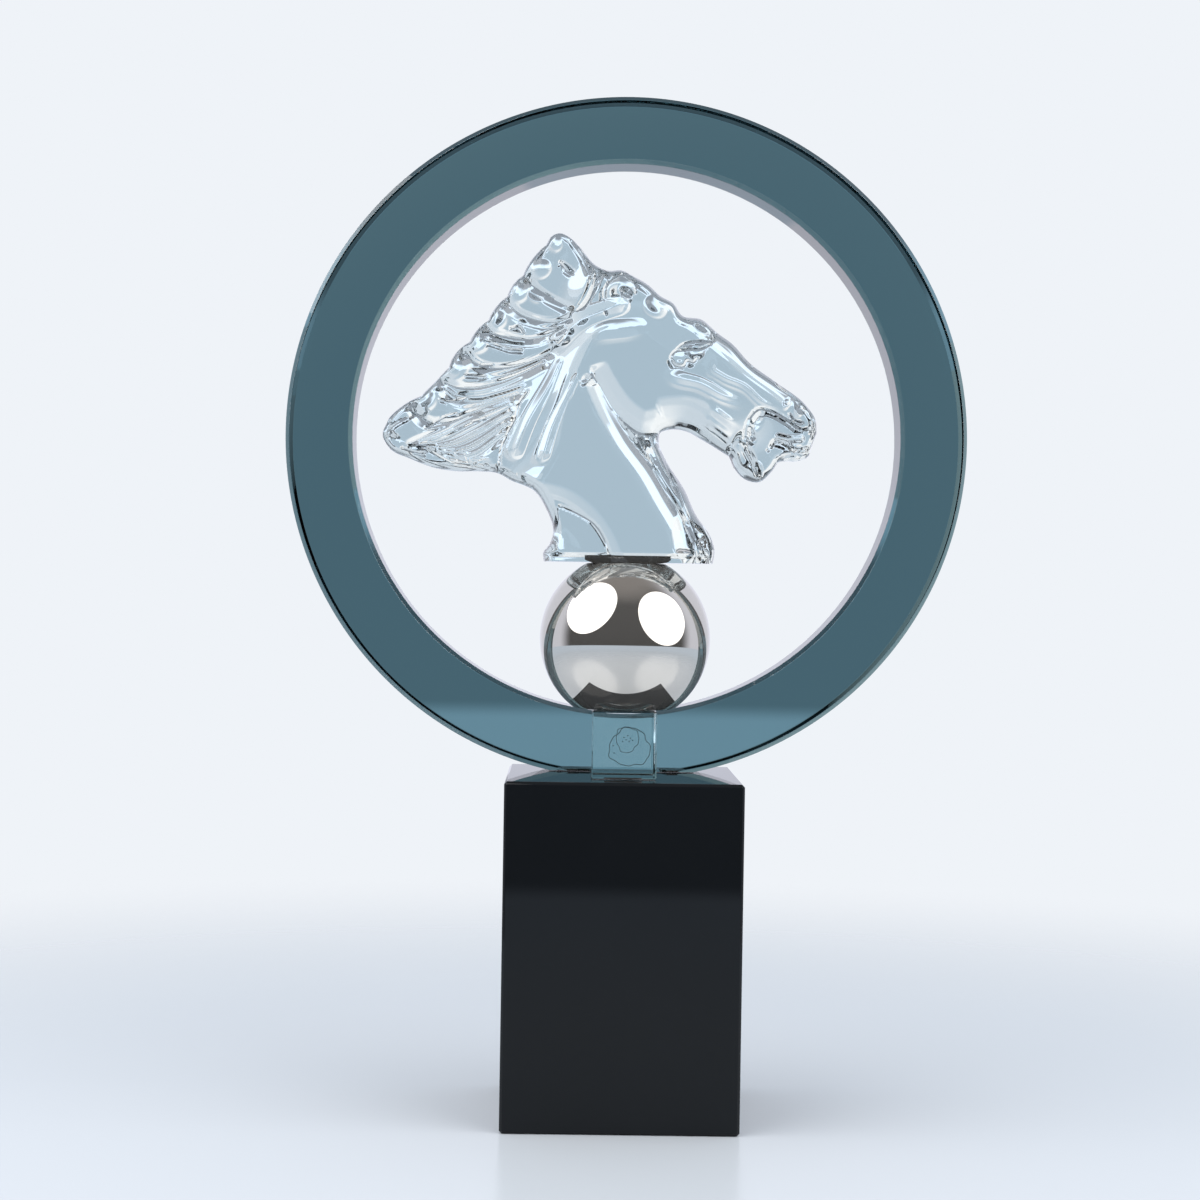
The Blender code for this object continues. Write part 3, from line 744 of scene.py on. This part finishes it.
    incised: tuple[tuple[float, float, tuple[Point, ...]], ...] = (
        (0.81, 1.01, ((-28.5, 2.4), (0.0, 2.4), (30.0, 2.4))),
        (0.50, 0.90, ((-24.5, 19.8), (-17.4, 16.9), (-11.2, 13.0), (-7.6, 7.4), (-5.8, 1.5))),
        (0.50, 0.75, ((-2.1, 49.2), (4.1, 45.2), (9.8, 45.3))),
        (0.63, 1.50, ((2.4, 44.4), (5.2, 39.6), (8.7, 33.1))),
        (0.72, 1.80, ((9.4, 43.7), (13.1, 34.1), (17.2, 24.5), (22.2, 13.1), (26.8, 2.0))),
        (0.60, 1.10, ((-9.3, 90.0), (-9.4, 94.4), (-6.8, 98.4), (-2.9, 99.9), (0.2, 98.5),
                     (2.2, 94.4))),
        (0.55, 1.00, ((15.5, 73.5), (17.7, 75.6), (22.1, 76.9), (27.8, 76.3),
                      (25.2, 74.7), (19.5, 74.1), (15.5, 73.5))),
        (0.55, 1.00, ((19.9, 73.7), (16.4, 73.9), (14.0, 71.4), (15.6, 68.6),
                      (18.7, 68.4), (20.0, 70.2), (22.0, 69.8), (23.4, 71.2))),
        (0.70, 1.60, ((40.2, 42.4), (40.6, 47.7), (42.3, 51.7), (44.9, 54.1), (48.8, 53.6),
                    (55.1, 50.4), (60.4, 47.2), (63.9, 48.1))),
        (0.63, 1.35, ((55.5, 52.8), (57.7, 50.2), (60.8, 49.4))),
        (0.54, 0.90, ((62.0, 56.0), (64.0, 50.8), (63.6, 43.7), (61.7, 39.3))),
        (0.81, 1.01, ((-21.6, 112.4), (-17.1, 106.4), (-13.6, 99.6))),
        (0.60, 1.20, PHOTO_CROP.line((705, 110), (690, 145), (665, 170))),
        (0.90, 1.60, PHOTO_CROP.line((760, 172), (785, 200), (812, 218))),
        (0.55, 1.00, PHOTO_CROP.line((640, 256), (690, 290), (742, 322))),
        (0.55, 1.10, PHOTO_CROP.line((622, 215), (600, 250), (612, 262))),
        (0.55, 1.10, PHOTO_CROP.line((548, 312), (528, 345), (545, 352))),
        (0.60, 1.20, PHOTO_CROP.line((560, 440), (600, 432), (622, 460))),
        (0.50, 1.00, PHOTO_CROP.line((455, 412), (440, 450), (500, 456))),
        (0.55, 1.00, PHOTO_CROP.line((450, 486), (500, 500), (560, 520), (620, 525))),
        (0.60, 1.20, PHOTO_CROP.line((375, 505), (380, 540), (412, 552))),
        (0.50, 1.00, PHOTO_CROP.line((340, 545), (362, 530), (385, 562))),
        (0.55, 1.10, PHOTO_CROP.line((440, 582), (500, 582))),
        (0.50, 0.90, PHOTO_CROP.line((380, 622), (470, 627))),
        (0.60, 1.20, PHOTO_CROP.line((262, 640), (280, 630), (300, 662))),
        (0.60, 1.20, PHOTO_CROP.line((168, 722), (180, 770), (222, 782), (240, 752))),
        (0.50, 0.90, PHOTO_CROP.line((280, 716), (330, 724), (400, 712))),
        (0.50, 0.90, PHOTO_CROP.line((220, 835), (300, 790), (360, 772))),
        (0.90, 1.60, PHOTO_CROP.line((88, 850), (102, 858), (120, 868))),
        (0.80, 1.50, PHOTO_CROP.line((66, 880), (60, 850), (68, 820), (90, 800))),
        (0.50, 1.00, PHOTO_CROP.line((78, 880), (80, 845), (110, 815), (160, 790))),
        (0.60, 1.10, PHOTO_CROP.line((130, 908), (180, 925), (230, 935))),
        (0.50, 0.90, PHOTO_CROP.line((232, 905), (270, 930), (330, 962), (420, 978))),
        (0.50, 0.90, PHOTO_CROP.line((410, 808), (470, 792))),
        (0.60, 1.10, PHOTO_CROP.line((640, 678), (600, 735), (582, 800), (556, 850), (525, 935),
                                     (520, 985))),
        (0.70, 1.30, PHOTO_CROP.line((905, 215), (890, 290), (860, 345), (822, 375))),
        (0.55, 1.00, PHOTO_CROP.line((750, 505), (775, 480), (795, 445))))
    swellings: tuple[Swelling, ...] = (
        Swelling((-4.0, 94.0), 7.0, 5.6, 50.0, 1.0),
        Swelling((-1.8, 93.4), 3.0, 2.0, -30.0, -2.6),
        Swelling((8.4, 89.0), 5.0, 4.0, -30.0, 0.85),
        Swelling((25.5, 82.8), 4.6, 3.0, -25.0, 1.4),
        Swelling((25.5, 82.8), 0.7, 0.7, 0.0, -0.5),
        Swelling((23.2, 72.6), 3.2, 2.6, 10.0, 0.45),
        Swelling((17.0, 71.0), 3.0, 2.6, 0.0, 0.3),
        Swelling((44.9, 50.9), 3.2, 2.0, 60.0, -0.9),
        Swelling((42.8, 45.1), 2.9, 1.5, -70.0, -2.4),
        Swelling((54.8, 56.6), 1.4, 1.4, 0.0, 0.6),
        Swelling((43.6, 33.6), 4.0, 3.4, 0.0, 0.9),
        Swelling((-15.5, 63.5), 2.2, 1.3, 40.0, -1.4),
        Swelling((15.9, 26.2), 4.2, 0.9, -62.0, -0.8),
        Swelling((-22.5, 102.2), 4.2, 1.3, -42.0, -1.8),
        Swelling((-26.4, 110.8), 2.8, 2.6, 0.0, 0.5),
        Swelling((-31.2, 101.9), 4.4, 3.6, 40.0, 0.75),
        Swelling((-39.0, 93.4), 4.2, 3.2, 30.0, 0.7),
        Swelling((-33.2, 92.6), 3.6, 2.2, -20.0, 0.5),
        Swelling((-46.7, 83.8), 4.4, 3.2, 30.0, 0.7),
        Swelling((-52.7, 75.6), 4.6, 3.2, 30.0, 0.7),
        Swelling((-60.0, 65.9), 4.6, 3.2, 40.0, 0.7),
        Swelling((-71.0, 55.0), 5.0, 3.4, 30.0, 0.7))
    shoulder: tuple[Point, ...] = (
        (-0.5, 1.0), (-4.1, 9.2), (-10.4, 17.9), (-19.3, 24.7), (-33.0, 28.6))
    shoulder_fall: float = 1.7
    shoulder_width: float = 4.8
    shoulder_reach: float = 22.0

    def body(self, points: np.ndarray) -> np.ndarray:
        """Return the half thickness of the plain form, flat where it is thick."""
        total, weight = np.zeros(len(points)), np.full(len(points), 1e-9)
        for x, z, spread, half in self.plan:
            pull = np.exp(-((points[:, 0] - x) ** 2 + (points[:, 1] - z) ** 2)
                          / (2 * spread ** 2))
            total += pull * half
            weight += pull
        return np.minimum(total / weight, self.flat)

    @staticmethod
    def stroked(points: np.ndarray, line: np.ndarray, stroke: Stroke) -> np.ndarray:
        """Return the height that one stroke gives at each point."""
        gap, side, share = distance(points, line)
        left, right, height = (a + (b - a) * share
                               for a, b in zip(stroke.start, stroke.end))
        fade = ramp(share / stroke.fade) * ramp((1 - share) / stroke.fade)
        return height * slope(gap / np.where(side > 0, left, right)) * fade

    def relief(self, points: np.ndarray) -> np.ndarray:
        """Return how far the carving stands up or goes in at each point."""
        raised, sunk = np.zeros(len(points)), np.zeros(len(points))
        for stroke in self.neck + self.head:
            raised = np.maximum(raised, self.stroked(points, smooth_line(stroke.line), stroke))
        lines = [(smooth_line(s.line), s) for s in self.valleys + self.mane]
        for line, stroke in lines:
            sunk = np.minimum(sunk, self.stroked(points, line, stroke))
        height = self.steepness * (raised + sunk)
        for swelling in self.swellings:
            turn = math.radians(swelling.tilt)
            dx, dz = (points - np.array(swelling.centre)).T
            u = (dx * math.cos(turn) + dz * math.sin(turn)) / swelling.half_length
            v = (dz * math.cos(turn) - dx * math.sin(turn)) / swelling.half_breadth
            height += self.swelling_gain * swelling.height * bell(np.hypot(u, v))
        gap, side, _ = distance(points, smooth_line(self.shoulder))
        lower = np.where(side > 0, gap, 0)
        height -= self.shoulder_fall * (1 - slope(lower / self.shoulder_width)) \
            * (1 - ramp(lower / self.shoulder_reach - 0.5))
        for half_width, depth, knots in self.incised:
            line = Stroke(knots, (half_width, half_width, -depth),
                          (half_width, half_width, -depth))
            height += self.stroked(points, smooth_line(knots), line)
        return height

    def half_thickness(self, points: np.ndarray, edge: np.ndarray) -> np.ndarray:
        """Return the carved half thickness.

        Args:
            points: rows of x and z.
            edge: the open outline, where the thickness is nothing.
        """
        body = self.body(points)
        rim = distance(points, edge)[0]
        near = np.clip(rim / (self.rim_share * body), 0, 1)
        near[rim < 1e-4] = 0.0
        carved = body + self.relief(points) * np.clip(rim / self.relief_start, 0, 1)
        return np.maximum(carved, self.least) * np.sqrt(1 - (1 - near) ** 2)


@dataclass
class HorseHead:
    """The pressed glass horse head, a fine net over its face and mirrored."""

    carving: Carving = field(default_factory=Carving)
    node: str = "horse_head"
    slot: str = "clear_glass"
    spacing: float = 0.52
    edge_spacing: float = 0.6
    rim_rows: int = 9
    rim_width: float = 4.4

    def rim_net(self, edge: np.ndarray, loop: np.ndarray) -> list[np.ndarray]:
        """Return the rows of points that follow the outline inwards.

        Args:
            edge: the open outline.
            loop: the outline closed along the foot.
        """
        step = np.gradient(edge, axis=0)
        inward = np.stack([-step[:, 1], step[:, 0]], axis=1)
        inward /= np.hypot(*inward.T)[:, None]
        rows = []
        for row in range(1, self.rim_rows + 1):
            angle = math.pi / 2 * row / (self.rim_rows + 0.6)
            depth = self.rim_width * (1 - math.cos(angle))
            line = edge + inward * depth
            clear = distance(line, edge)[0] > 0.96 * depth
            rows.append(line[clear & within(line, loop) & (line[:, 1] > depth * 0.6)])
        return rows

    def field_net(self, edge: np.ndarray, loop: np.ndarray) -> np.ndarray:
        """Return an even field of points inside the rim.

        Args:
            edge: the open outline.
            loop: the outline closed along the foot.
        """
        low, high = loop.min(axis=0), loop.max(axis=0)
        pitch = self.spacing * math.sqrt(3) / 2
        levels = np.arange(low[1] + pitch, high[1], pitch)
        row = np.arange(low[0], high[0], self.spacing)
        points = np.vstack([np.stack([row + self.spacing / 2 * (j % 2),
                                      np.full(len(row), z)], axis=1)
                            for j, z in enumerate(levels)])
        points = points[within(points, loop)]
        clear = distance(points, edge)[0] > self.rim_width * 0.95
        return points[clear & (points[:, 1] > self.spacing * 0.4)]

    def incised_net(self, edge: np.ndarray, loop: np.ndarray) -> list[np.ndarray]:
        """Return the rows of points that follow the incised lines.

        Args:
            edge: the open outline.
            loop: the outline closed along the foot.
        """
        rows = []
        for half_width, _, knots in self.carving.incised:
            line = even(smooth_line(knots), 0.8 * self.spacing)
            step = np.gradient(line, axis=0)
            across = np.stack([-step[:, 1], step[:, 0]], axis=1)
            across /= np.hypot(*across.T)[:, None]
            for share in (0.0, -0.5, 0.5, -1.0, 1.0):
                row = line + across * share * half_width
                clear = distance(row, edge)[0] > 0.4
                rows.append(row[clear & within(row, loop) & (row[:, 1] > 0.4)])
        return rows

    def thinned(self, rows: list[np.ndarray]) -> np.ndarray:
        """Return the rows' points that stand clear of each other."""
        limit = self.spacing * 0.45
        cells: dict[tuple[int, int], list[Point]] = {}
        kept = []
        for x, z in np.vstack(rows):
            i, j = int(x // limit), int(z // limit)
            near = (other for di in (-1, 0, 1) for dj in (-1, 0, 1)
                    for other in cells.get((i + di, j + dj), ()))
            if all((x - a) ** 2 + (z - b) ** 2 > limit ** 2 for a, b in near):
                cells.setdefault((i, j), []).append((x, z))
                kept.append((x, z))
        return np.array(kept)

    def net(self) -> tuple[np.ndarray, np.ndarray, list[list[int]]]:
        """Return the net's points, their half thickness and its triangles."""
        edge = self.carving.outline.line(self.edge_spacing)
        foot = even(np.array([edge[-1], edge[0]]), self.edge_spacing)
        loop = np.vstack([edge, foot[1:-1]])
        inner = self.thinned(self.incised_net(edge, loop) + self.rim_net(edge, loop)
                             + [self.field_net(edge, loop)])
        points = np.vstack([loop, inner])
        sides = [(i, (i + 1) % len(loop)) for i in range(len(loop))]
        net = delaunay_2d_cdt([Vector(p) for p in points], sides, [], 1, 1e-6)
        flat = np.array([tuple(p) for p in net[0]])
        return flat, self.carving.half_thickness(flat, edge), net[2]

    def build(self) -> bpy.types.Object:
        """Raise the net to its thickness, mirror it and add the horse head."""
        low, high = corners(self.node)
        flat, half, faces = self.net()
        bm = bmesh.new()
        verts = [bm.verts.new((x, -y, z)) for (x, z), y in zip(flat, half)]
        for face in faces:
            bm.faces.new([verts[i] for i in reversed(face)])
        foot = [e for e in bm.edges if e.is_boundary and max(v.co.z for v in e.verts) < 1e-6]
        sole = bmesh.ops.extrude_edge_only(bm, edges=foot)
        for item in sole["geom"]:
            if isinstance(item, bmesh.types.BMVert):
                item.co.y = 0.0
        bmesh.ops.remove_doubles(bm, verts=bm.verts[:], dist=1e-4)
        bmesh.ops.mirror(bm, geom=bm.verts[:] + bm.edges[:] + bm.faces[:], axis="Y",
                         merge_dist=1e-4)
        bmesh.ops.scale(bm, vec=(MM, MM, MM), verts=bm.verts[:])
        bmesh.ops.translate(bm, vec=(0.0, (low.y + high.y) / 2, low.z), verts=bm.verts[:])
        bmesh.ops.recalc_face_normals(bm, faces=bm.faces[:])
        return finished("horse_head_body", bm, HORSE_GLASS.material(), self.slot,
                        [self.node], crease=60.0)


@dataclass
class GlueAndShadePatch:
    """An irregular patch, flat or upright: set glue, and painted shade under the ring's foot.

    centre is its middle and half_size its half extents along x and along the
    second way, y where it lies flat and z where it stands upright. Lobes of
    its outline swell and draw in by the share ragged, from the angle turn.
    bead is the width of the rim that alone is left, all of it at 0, and spots
    are the places that it is set in, from its centre.
    """

    name: str
    slot: str
    centre: Vector
    half_size: Point
    thickness: float
    upright: bool = False
    ragged: float = 0.12
    turn: float = 0.0
    bead: float = 0.0
    spots: tuple[Point, ...] = ((0.0, 0.0),)
    segments: int = 72

    def flat_shape(self, bm: bmesh.types.BMesh, spot: Point) -> None:
        """Draw the patch's outline, or only its bead, around one spot.

        Args:
            bm: where it is drawn, on the level.
            spot: its middle, in metres from the patch's centre.
        """
        drawn = bmesh.ops.create_circle(bm, cap_ends=True, radius=1.0, segments=self.segments)
        for vert in drawn["verts"]:
            angle = math.atan2(vert.co.y, vert.co.x) + self.turn
            swell = 1 + self.ragged * (0.5 * math.sin(3 * angle) + 0.3 * math.sin(7 * angle)
                                       + 0.2 * math.sin(11 * angle))
            vert.co.x = spot[0] + vert.co.x * swell * self.half_size[0]
            vert.co.y = spot[1] + vert.co.y * swell * self.half_size[1]
        if self.bead > 0:
            middle = bm.faces[:]
            bmesh.ops.inset_region(bm, faces=middle, thickness=self.bead, use_even_offset=True,
                                   use_boundary=True)
            bmesh.ops.delete(bm, geom=middle, context="FACES_ONLY")

    def build(self, finish: "GlassFinish | OpaqueFinish") -> bpy.types.Object:
        """Add the patch with its finish, once for each of its spots."""
        bm = bmesh.new()
        for spot in self.spots:
            self.flat_shape(bm, spot)
        grown = bmesh.ops.extrude_face_region(bm, geom=bm.faces[:])
        top = [v for v in grown["geom"] if isinstance(v, bmesh.types.BMVert)]
        bmesh.ops.translate(bm, vec=(0, 0, self.thickness), verts=top)
        bmesh.ops.translate(bm, vec=(0, 0, -self.thickness / 2), verts=bm.verts[:])
        if self.upright:
            bmesh.ops.rotate(bm, cent=(0, 0, 0), verts=bm.verts[:],
                             matrix=Matrix.Rotation(math.pi / 2, 3, "X"))
        bmesh.ops.translate(bm, vec=self.centre, verts=bm.verts[:])
        bmesh.ops.recalc_face_normals(bm, faces=bm.faces[:])
        return finished(self.name, bm, finish.material(), self.slot, crease=40.0)


@dataclass
class Glue:
    """The set glue that holds the pieces together, and painted shade at the ends of the ring's
    foot.
    """

    film: float = 0.22 * MM
    specks: tuple[Point, ...] = (
        (-1.2, 3.4), (0.2, 4.0), (1.1, 3.1), (-0.4, 2.5), (0.7, 2.0), (-1.6, 1.9),
        (1.9, 2.4), (-4.9, 0.4), (-4.6, -2.2))

    def in_seam(self, block_low: Vector, seam_y: float) -> list[bpy.types.Object]:
        """Add the glue between the clear block and the ring.

        Args:
            block_low: the clear block's lowest corner.
            seam_y: how far back the seam is.

        Returns:
            The new objects.
        """
        seam = Vector((2.3 * MM, seam_y, block_low.z + 8.4 * MM))
        shapes = [("ring_glue_rim", (0.1, 1.0), (7.4, 6.9), 0.12, 1.1, 0.30),
                  ("ring_glue_drop", (-0.8, 3.9), (4.1, 4.7), 0.12, 2.3, 0.24),
                  ("ring_glue_crack", (3.6, 11.9), (5.0, 0.40), 0.50, 0.4, 0.0)]
        specks = GlueAndShadePatch("ring_glue_specks", "clear_block_glass",
                           seam + Vector((-0.8, 0, 1.2)) * MM, (0.26 * MM, 0.20 * MM),
                           self.film, True, 0.3, segments=16,
                           spots=tuple((x * MM, z * MM) for x, z in self.specks))
        return [specks.build(GLUE_EDGE)] + [
            GlueAndShadePatch(name, "clear_block_glass", seam + Vector((x, 0, z)) * MM,
                      (wide * MM, high * MM), self.film, True, ragged, turn,
                      bead * MM).build(GLUE_EDGE)
            for name, (x, z), (wide, high), ragged, turn, bead in shapes]

    def underfoot(self, block_low: Vector, ring_low: Vector) -> list[bpy.types.Object]:
        """Add dark patches of painted shade at the ends of the ring's foot, and the dark glue in
        front of the block.

        Args:
            block_low: the clear block's lowest corner.
            ring_low: the ring's lowest corner.

        Returns:
            The new objects.
        """
        y = ring_low.y + 10.0 * MM
        # The two ring_foot patches are painted shade: dark sheets for the shadow and dark
        # reflection at the ends of the ring's foot.
        shapes = [("ring_foot_painted_shade_left", "smoky_glass", (-17.6 * MM, y), (6.0, 9.0), 0.30, 0.8),
                  ("ring_foot_painted_shade_right", "smoky_glass", (18.4 * MM, y), (4.4, 9.0), 0.28, 2.2),
                  ("block_foot_glue", "clear_block_glass",
                   (0.4 * MM, block_low.y - 0.95 * MM), (5.8, 0.85), 0.25, 1.5)]
        return [GlueAndShadePatch(name, slot, Vector((x, y, block_low.z + 0.30 * MM)),
                          (wide * MM, deep * MM), 0.5 * MM, ragged=ragged,
                          turn=turn).build(DARK_GLUE_AND_SHADE)
                for name, slot, (x, y), (wide, deep), ragged, turn in shapes]

    def build(self) -> list[bpy.types.Object]:
        """Add a patch of glue at each joint where the photograph shows one, and painted shade at
        the ring's foot.
        """
        block_low, block_high = corners("clear_block")
        ring_low, _ = corners("ring")
        ball_low, ball_high = corners("ball")
        horse_low, _ = corners("horse_head")
        y = (ball_low.y + ball_high.y) / 2
        # A thick pad, not a film: it stands inside the foot's glass and cuts into the ball's top.
        horse = GlueAndShadePatch("horse_glue", "clear_glass",
                          Vector((0.0, y, horse_low.z + 1.15 * MM)),
                          (15.0 * MM, 2.05 * MM), 20.0 * MM, True, 0.06, 0.7).build(DARK_GLUE_AND_SHADE)
        ball = GlueAndShadePatch("ball_glue", "clear_block_glass",
                         Vector((0.0, y, (block_high.z + ball_low.z) / 2)),
                         (9.0 * MM, 9.0 * MM), self.film, turn=2.0).build(DARK_GLUE_AND_SHADE)
        return ([horse, ball] + self.in_seam(block_low, (block_high.y + ring_low.y) / 2)
                + self.underfoot(block_low, ring_low))


@dataclass(frozen=True)
class Glow:
    """What rays of one kind meet in the studio, by where they point.

    front is the dark side, where the camera stands. left and right are the
    sides behind the object and core is straight behind it. turn and narrow
    are the shares of a ray's way that point to the back where the front ends
    and where the core begins. below is just under the horizon, underfoot
    farther down and above straight up.
    """

    front: Colour
    left: Colour
    right: Colour
    core: Colour
    above: Colour
    below: Colour
    underfoot: Colour
    turn: Point
    narrow: Point
    horizon: float


@dataclass
class Studio:
    """Plain soft studio light on a pale floor."""

    backdrop: Colour = (0.863, 0.896, 0.939)
    ambient: Colour = (0.86, 0.95, 1.05)
    mirrored: Glow = Glow(
        front=(0.020, 0.016, 0.013), left=(0.76, 0.78, 0.88), right=(0.76, 0.78, 0.88),
        core=(0.86, 0.88, 1.00), above=(0.22, 0.20, 0.19), below=(0.62, 0.72, 0.85),
        underfoot=(0.60, 0.68, 0.78), turn=(-0.2, 0.2), narrow=(0.8, 0.95), horizon=-0.125)
    seen_through: Glow = Glow(
        front=(0.006, 0.006, 0.007), left=(0.97, 0.99, 1.0), right=(0.62, 0.70, 0.77),
        core=(0.445, 0.565, 0.66), above=(0.25, 0.28, 0.31), below=(0.92, 1.10, 1.28),
        underfoot=(0.30, 0.34, 0.39), turn=(0.15, 0.60), narrow=(0.958, 0.9955),
        horizon=-0.052)
    floor_radius: float = 1.2
    floor_colour: Colour = (0.50, 0.52, 0.545)
    floor_gloss: float = 0.16
    fade_start: float = 0.20
    fade_end: float = 0.70
    side_blend: Point = (-0.12, 0.12)
    top_blend: Point = (0.70, 1.0)
    underfoot_blend: Point = (0.06, 0.14)
    horizon_blend: Point = (-0.004, 0.004)

    def directed(self, shading: Shading, glow: Glow) -> Value:
        """Return the colour that a ray of one kind meets.

        Args:
            shading: the world's tree.
            glow: the surroundings of that kind of ray.

        Returns:
            The colour, by the ray's direction.
        """
        parts = shading.node("ShaderNodeSeparateXYZ", None,
                             {0: shading.value("ShaderNodeTexCoord", "Generated")})
        right, back, up = (Value(shading, parts.outputs[i]) for i in range(3))
        sides = shading.mix_colour(shading.step(right, *self.side_blend),
                                   (*glow.left, 1.0), (*glow.right, 1.0))
        around = shading.mix_colour(shading.step(back, *glow.turn), (*glow.front, 1.0), sides)
        level = shading.mix_colour(shading.step(back, *glow.narrow), around,
                                   (*glow.core, 1.0))
        upper = shading.mix_colour(shading.step(up, *self.top_blend), level, (*glow.above, 1.0))
        drop = glow.horizon - up
        lower = shading.mix_colour(shading.step(drop, *self.underfoot_blend), (*glow.below, 1.0),
                                   (*glow.underfoot, 1.0))
        return shading.mix_colour(shading.step(drop, *self.horizon_blend), upper, lower)

    def light_world(self) -> None:
        """Give each kind of ray its surroundings."""
        world = bpy.data.worlds.new("studio")
        world.use_nodes = True
        shading = Shading(world.node_tree)
        rays = shading.node("ShaderNodeLightPath")
        colour: Any = (*self.ambient, 1.0)
        for output, seen in (("Is Glossy Ray", self.directed(shading, self.mirrored)),
                             ("Is Transmission Ray",
                              self.directed(shading, self.seen_through)),
                             ("Is Camera Ray", (*self.backdrop, 1.0))):
            colour = shading.mix_colour(Value(shading, rays.outputs[output]), colour, seen)
        light = shading.node("ShaderNodeBackground", None, {"Color": colour, "Strength": 1.0})
        shading.node("ShaderNodeOutputWorld", None, {"Surface": light.outputs[0]})
        bpy.context.scene.world = world

    def lay_floor(self) -> None:
        """Lay the pale floor, which fades into the backdrop far out."""
        mesh = bpy.data.meshes.new("floor")
        bm = bmesh.new()
        bmesh.ops.create_circle(bm, cap_ends=True, radius=self.floor_radius, segments=96)
        bm.to_mesh(mesh)
        bm.free()
        floor = bpy.data.objects.new("floor", mesh)
        bpy.context.scene.collection.objects.link(floor)
        floor.visible_transmission = False
        material = bpy.data.materials.new("floor_paper")
        material.use_nodes = True
        shading = Shading(material.node_tree)
        reach = shading.value("ShaderNodeVectorMath", "Value", {"operation": "LENGTH"},
                              {0: shading.place()})
        paper = shading.node("ShaderNodeBsdfDiffuse", None,
                             {"Color": (*self.floor_colour, 1.0)})
        sheen = shading.node("ShaderNodeBsdfGlossy", None, {"Roughness": 0.22})
        board = shading.node("ShaderNodeMixShader", None,
                             {0: self.floor_gloss, 1: paper.outputs[0], 2: sheen.outputs[0]})
        clear = shading.node("ShaderNodeBsdfTransparent")
        faded = shading.step(reach, self.fade_start, self.fade_end)
        surface = shading.node("ShaderNodeMixShader", None,
                               {0: faded, 1: board.outputs[0], 2: clear.outputs[0]})
        shading.node("ShaderNodeOutputMaterial", None, {"Surface": surface.outputs[0]})
        mesh.materials.append(material)

    def add_softbox(self, name: str, aim: Vector, way: Sequence[float], reach: float,
                    size: float, power: float, colour: Colour) -> None:
        """Add a round softbox.

        Args:
            name: its name.
            aim: the point it faces.
            way: the direction from there to it.
            reach: how far off it stands.
            size: its diameter.
            power: its power in watts.
            colour: its light's colour.
        """
        light = bpy.data.lights.new(name, "AREA")
        light.shape = "DISK"
        light.size = size
        light.energy = power
        light.color = colour
        lamp = bpy.data.objects.new(name, light)
        toward = Vector(way).normalized()
        lamp.location = aim + toward * reach
        lamp.rotation_euler = toward.to_track_quat("Z", "Y").to_euler()
        lamp.visible_camera = False
        lamp.visible_transmission = False
        bpy.context.scene.collection.objects.link(lamp)

    def build(self) -> None:
        """Set up the world, the floor and the softboxes."""
        self.light_world()
        self.lay_floor()
        aim = Vector((0.0, -0.01, 0.17))
        self.add_softbox("softbox_left", aim, (-0.70, -0.38, 0.64), 0.85, 1.10, 7.0,
                         (1.0, 0.98, 0.96))
        self.add_softbox("softbox_right", aim, (0.756, -0.51, 0.46), 0.85, 1.10, 6.5,
                         (1.0, 0.98, 0.96))


@dataclass(frozen=True)
class Viewpoint:
    """The camera of the photograph, in millimetres, radians and its pixels."""

    place: tuple[float, float, float] = (-20.2, -878.7, 188.2)
    yaw: float = -0.0129
    pitch: float = 0.0073
    roll: float = 0.0157
    focal_pixels: float = 2468.4
    frame_pixels: float = 1200.0

    def build(self) -> None:
        """Add the camera and make it the scene's."""
        look = Vector((-math.sin(self.yaw) * math.cos(self.pitch),
                       math.cos(self.yaw) * math.cos(self.pitch), -math.sin(self.pitch)))
        right = Vector((math.cos(self.yaw), math.sin(self.yaw), 0.0))
        up = right.cross(look)
        across = right * math.cos(self.roll) + up * math.sin(self.roll)
        upright = up * math.cos(self.roll) - right * math.sin(self.roll)
        data = bpy.data.cameras.new("camera")
        data.sensor_width = 36.0
        data.lens = 36.0 * self.focal_pixels / self.frame_pixels
        camera = bpy.data.objects.new("camera", data)
        turn = Matrix((across, upright, -look)).transposed().to_4x4()
        camera.matrix_world = Matrix.Translation(Vector(self.place) * MM) @ turn
        bpy.context.scene.collection.objects.link(camera)
        bpy.context.scene.camera = camera


def main() -> None:
    """Build and dress the trophy and its studio."""
    logging.basicConfig(level=logging.INFO, format="%(message)s")
    bpy.context.scene.view_settings.view_transform = "Standard"
    Viewpoint().build()
    Studio().build()
    pieces = [Cuboid("base_block", "black_glass", Sides.base_chamfer).build(BLACK_GLASS),
              Ring().build(),
              Cuboid("clear_block", "clear_block_glass", Sides.block_chamfer).build(BLOCK_GLASS),
              Ball().build(),
              HorseHead().build()]
    pieces += Glue().build()
    for piece in pieces:
        LOG.info("%s: %d faces", piece.name, len(piece.data.polygons))


if __name__ == "__main__":
    main()
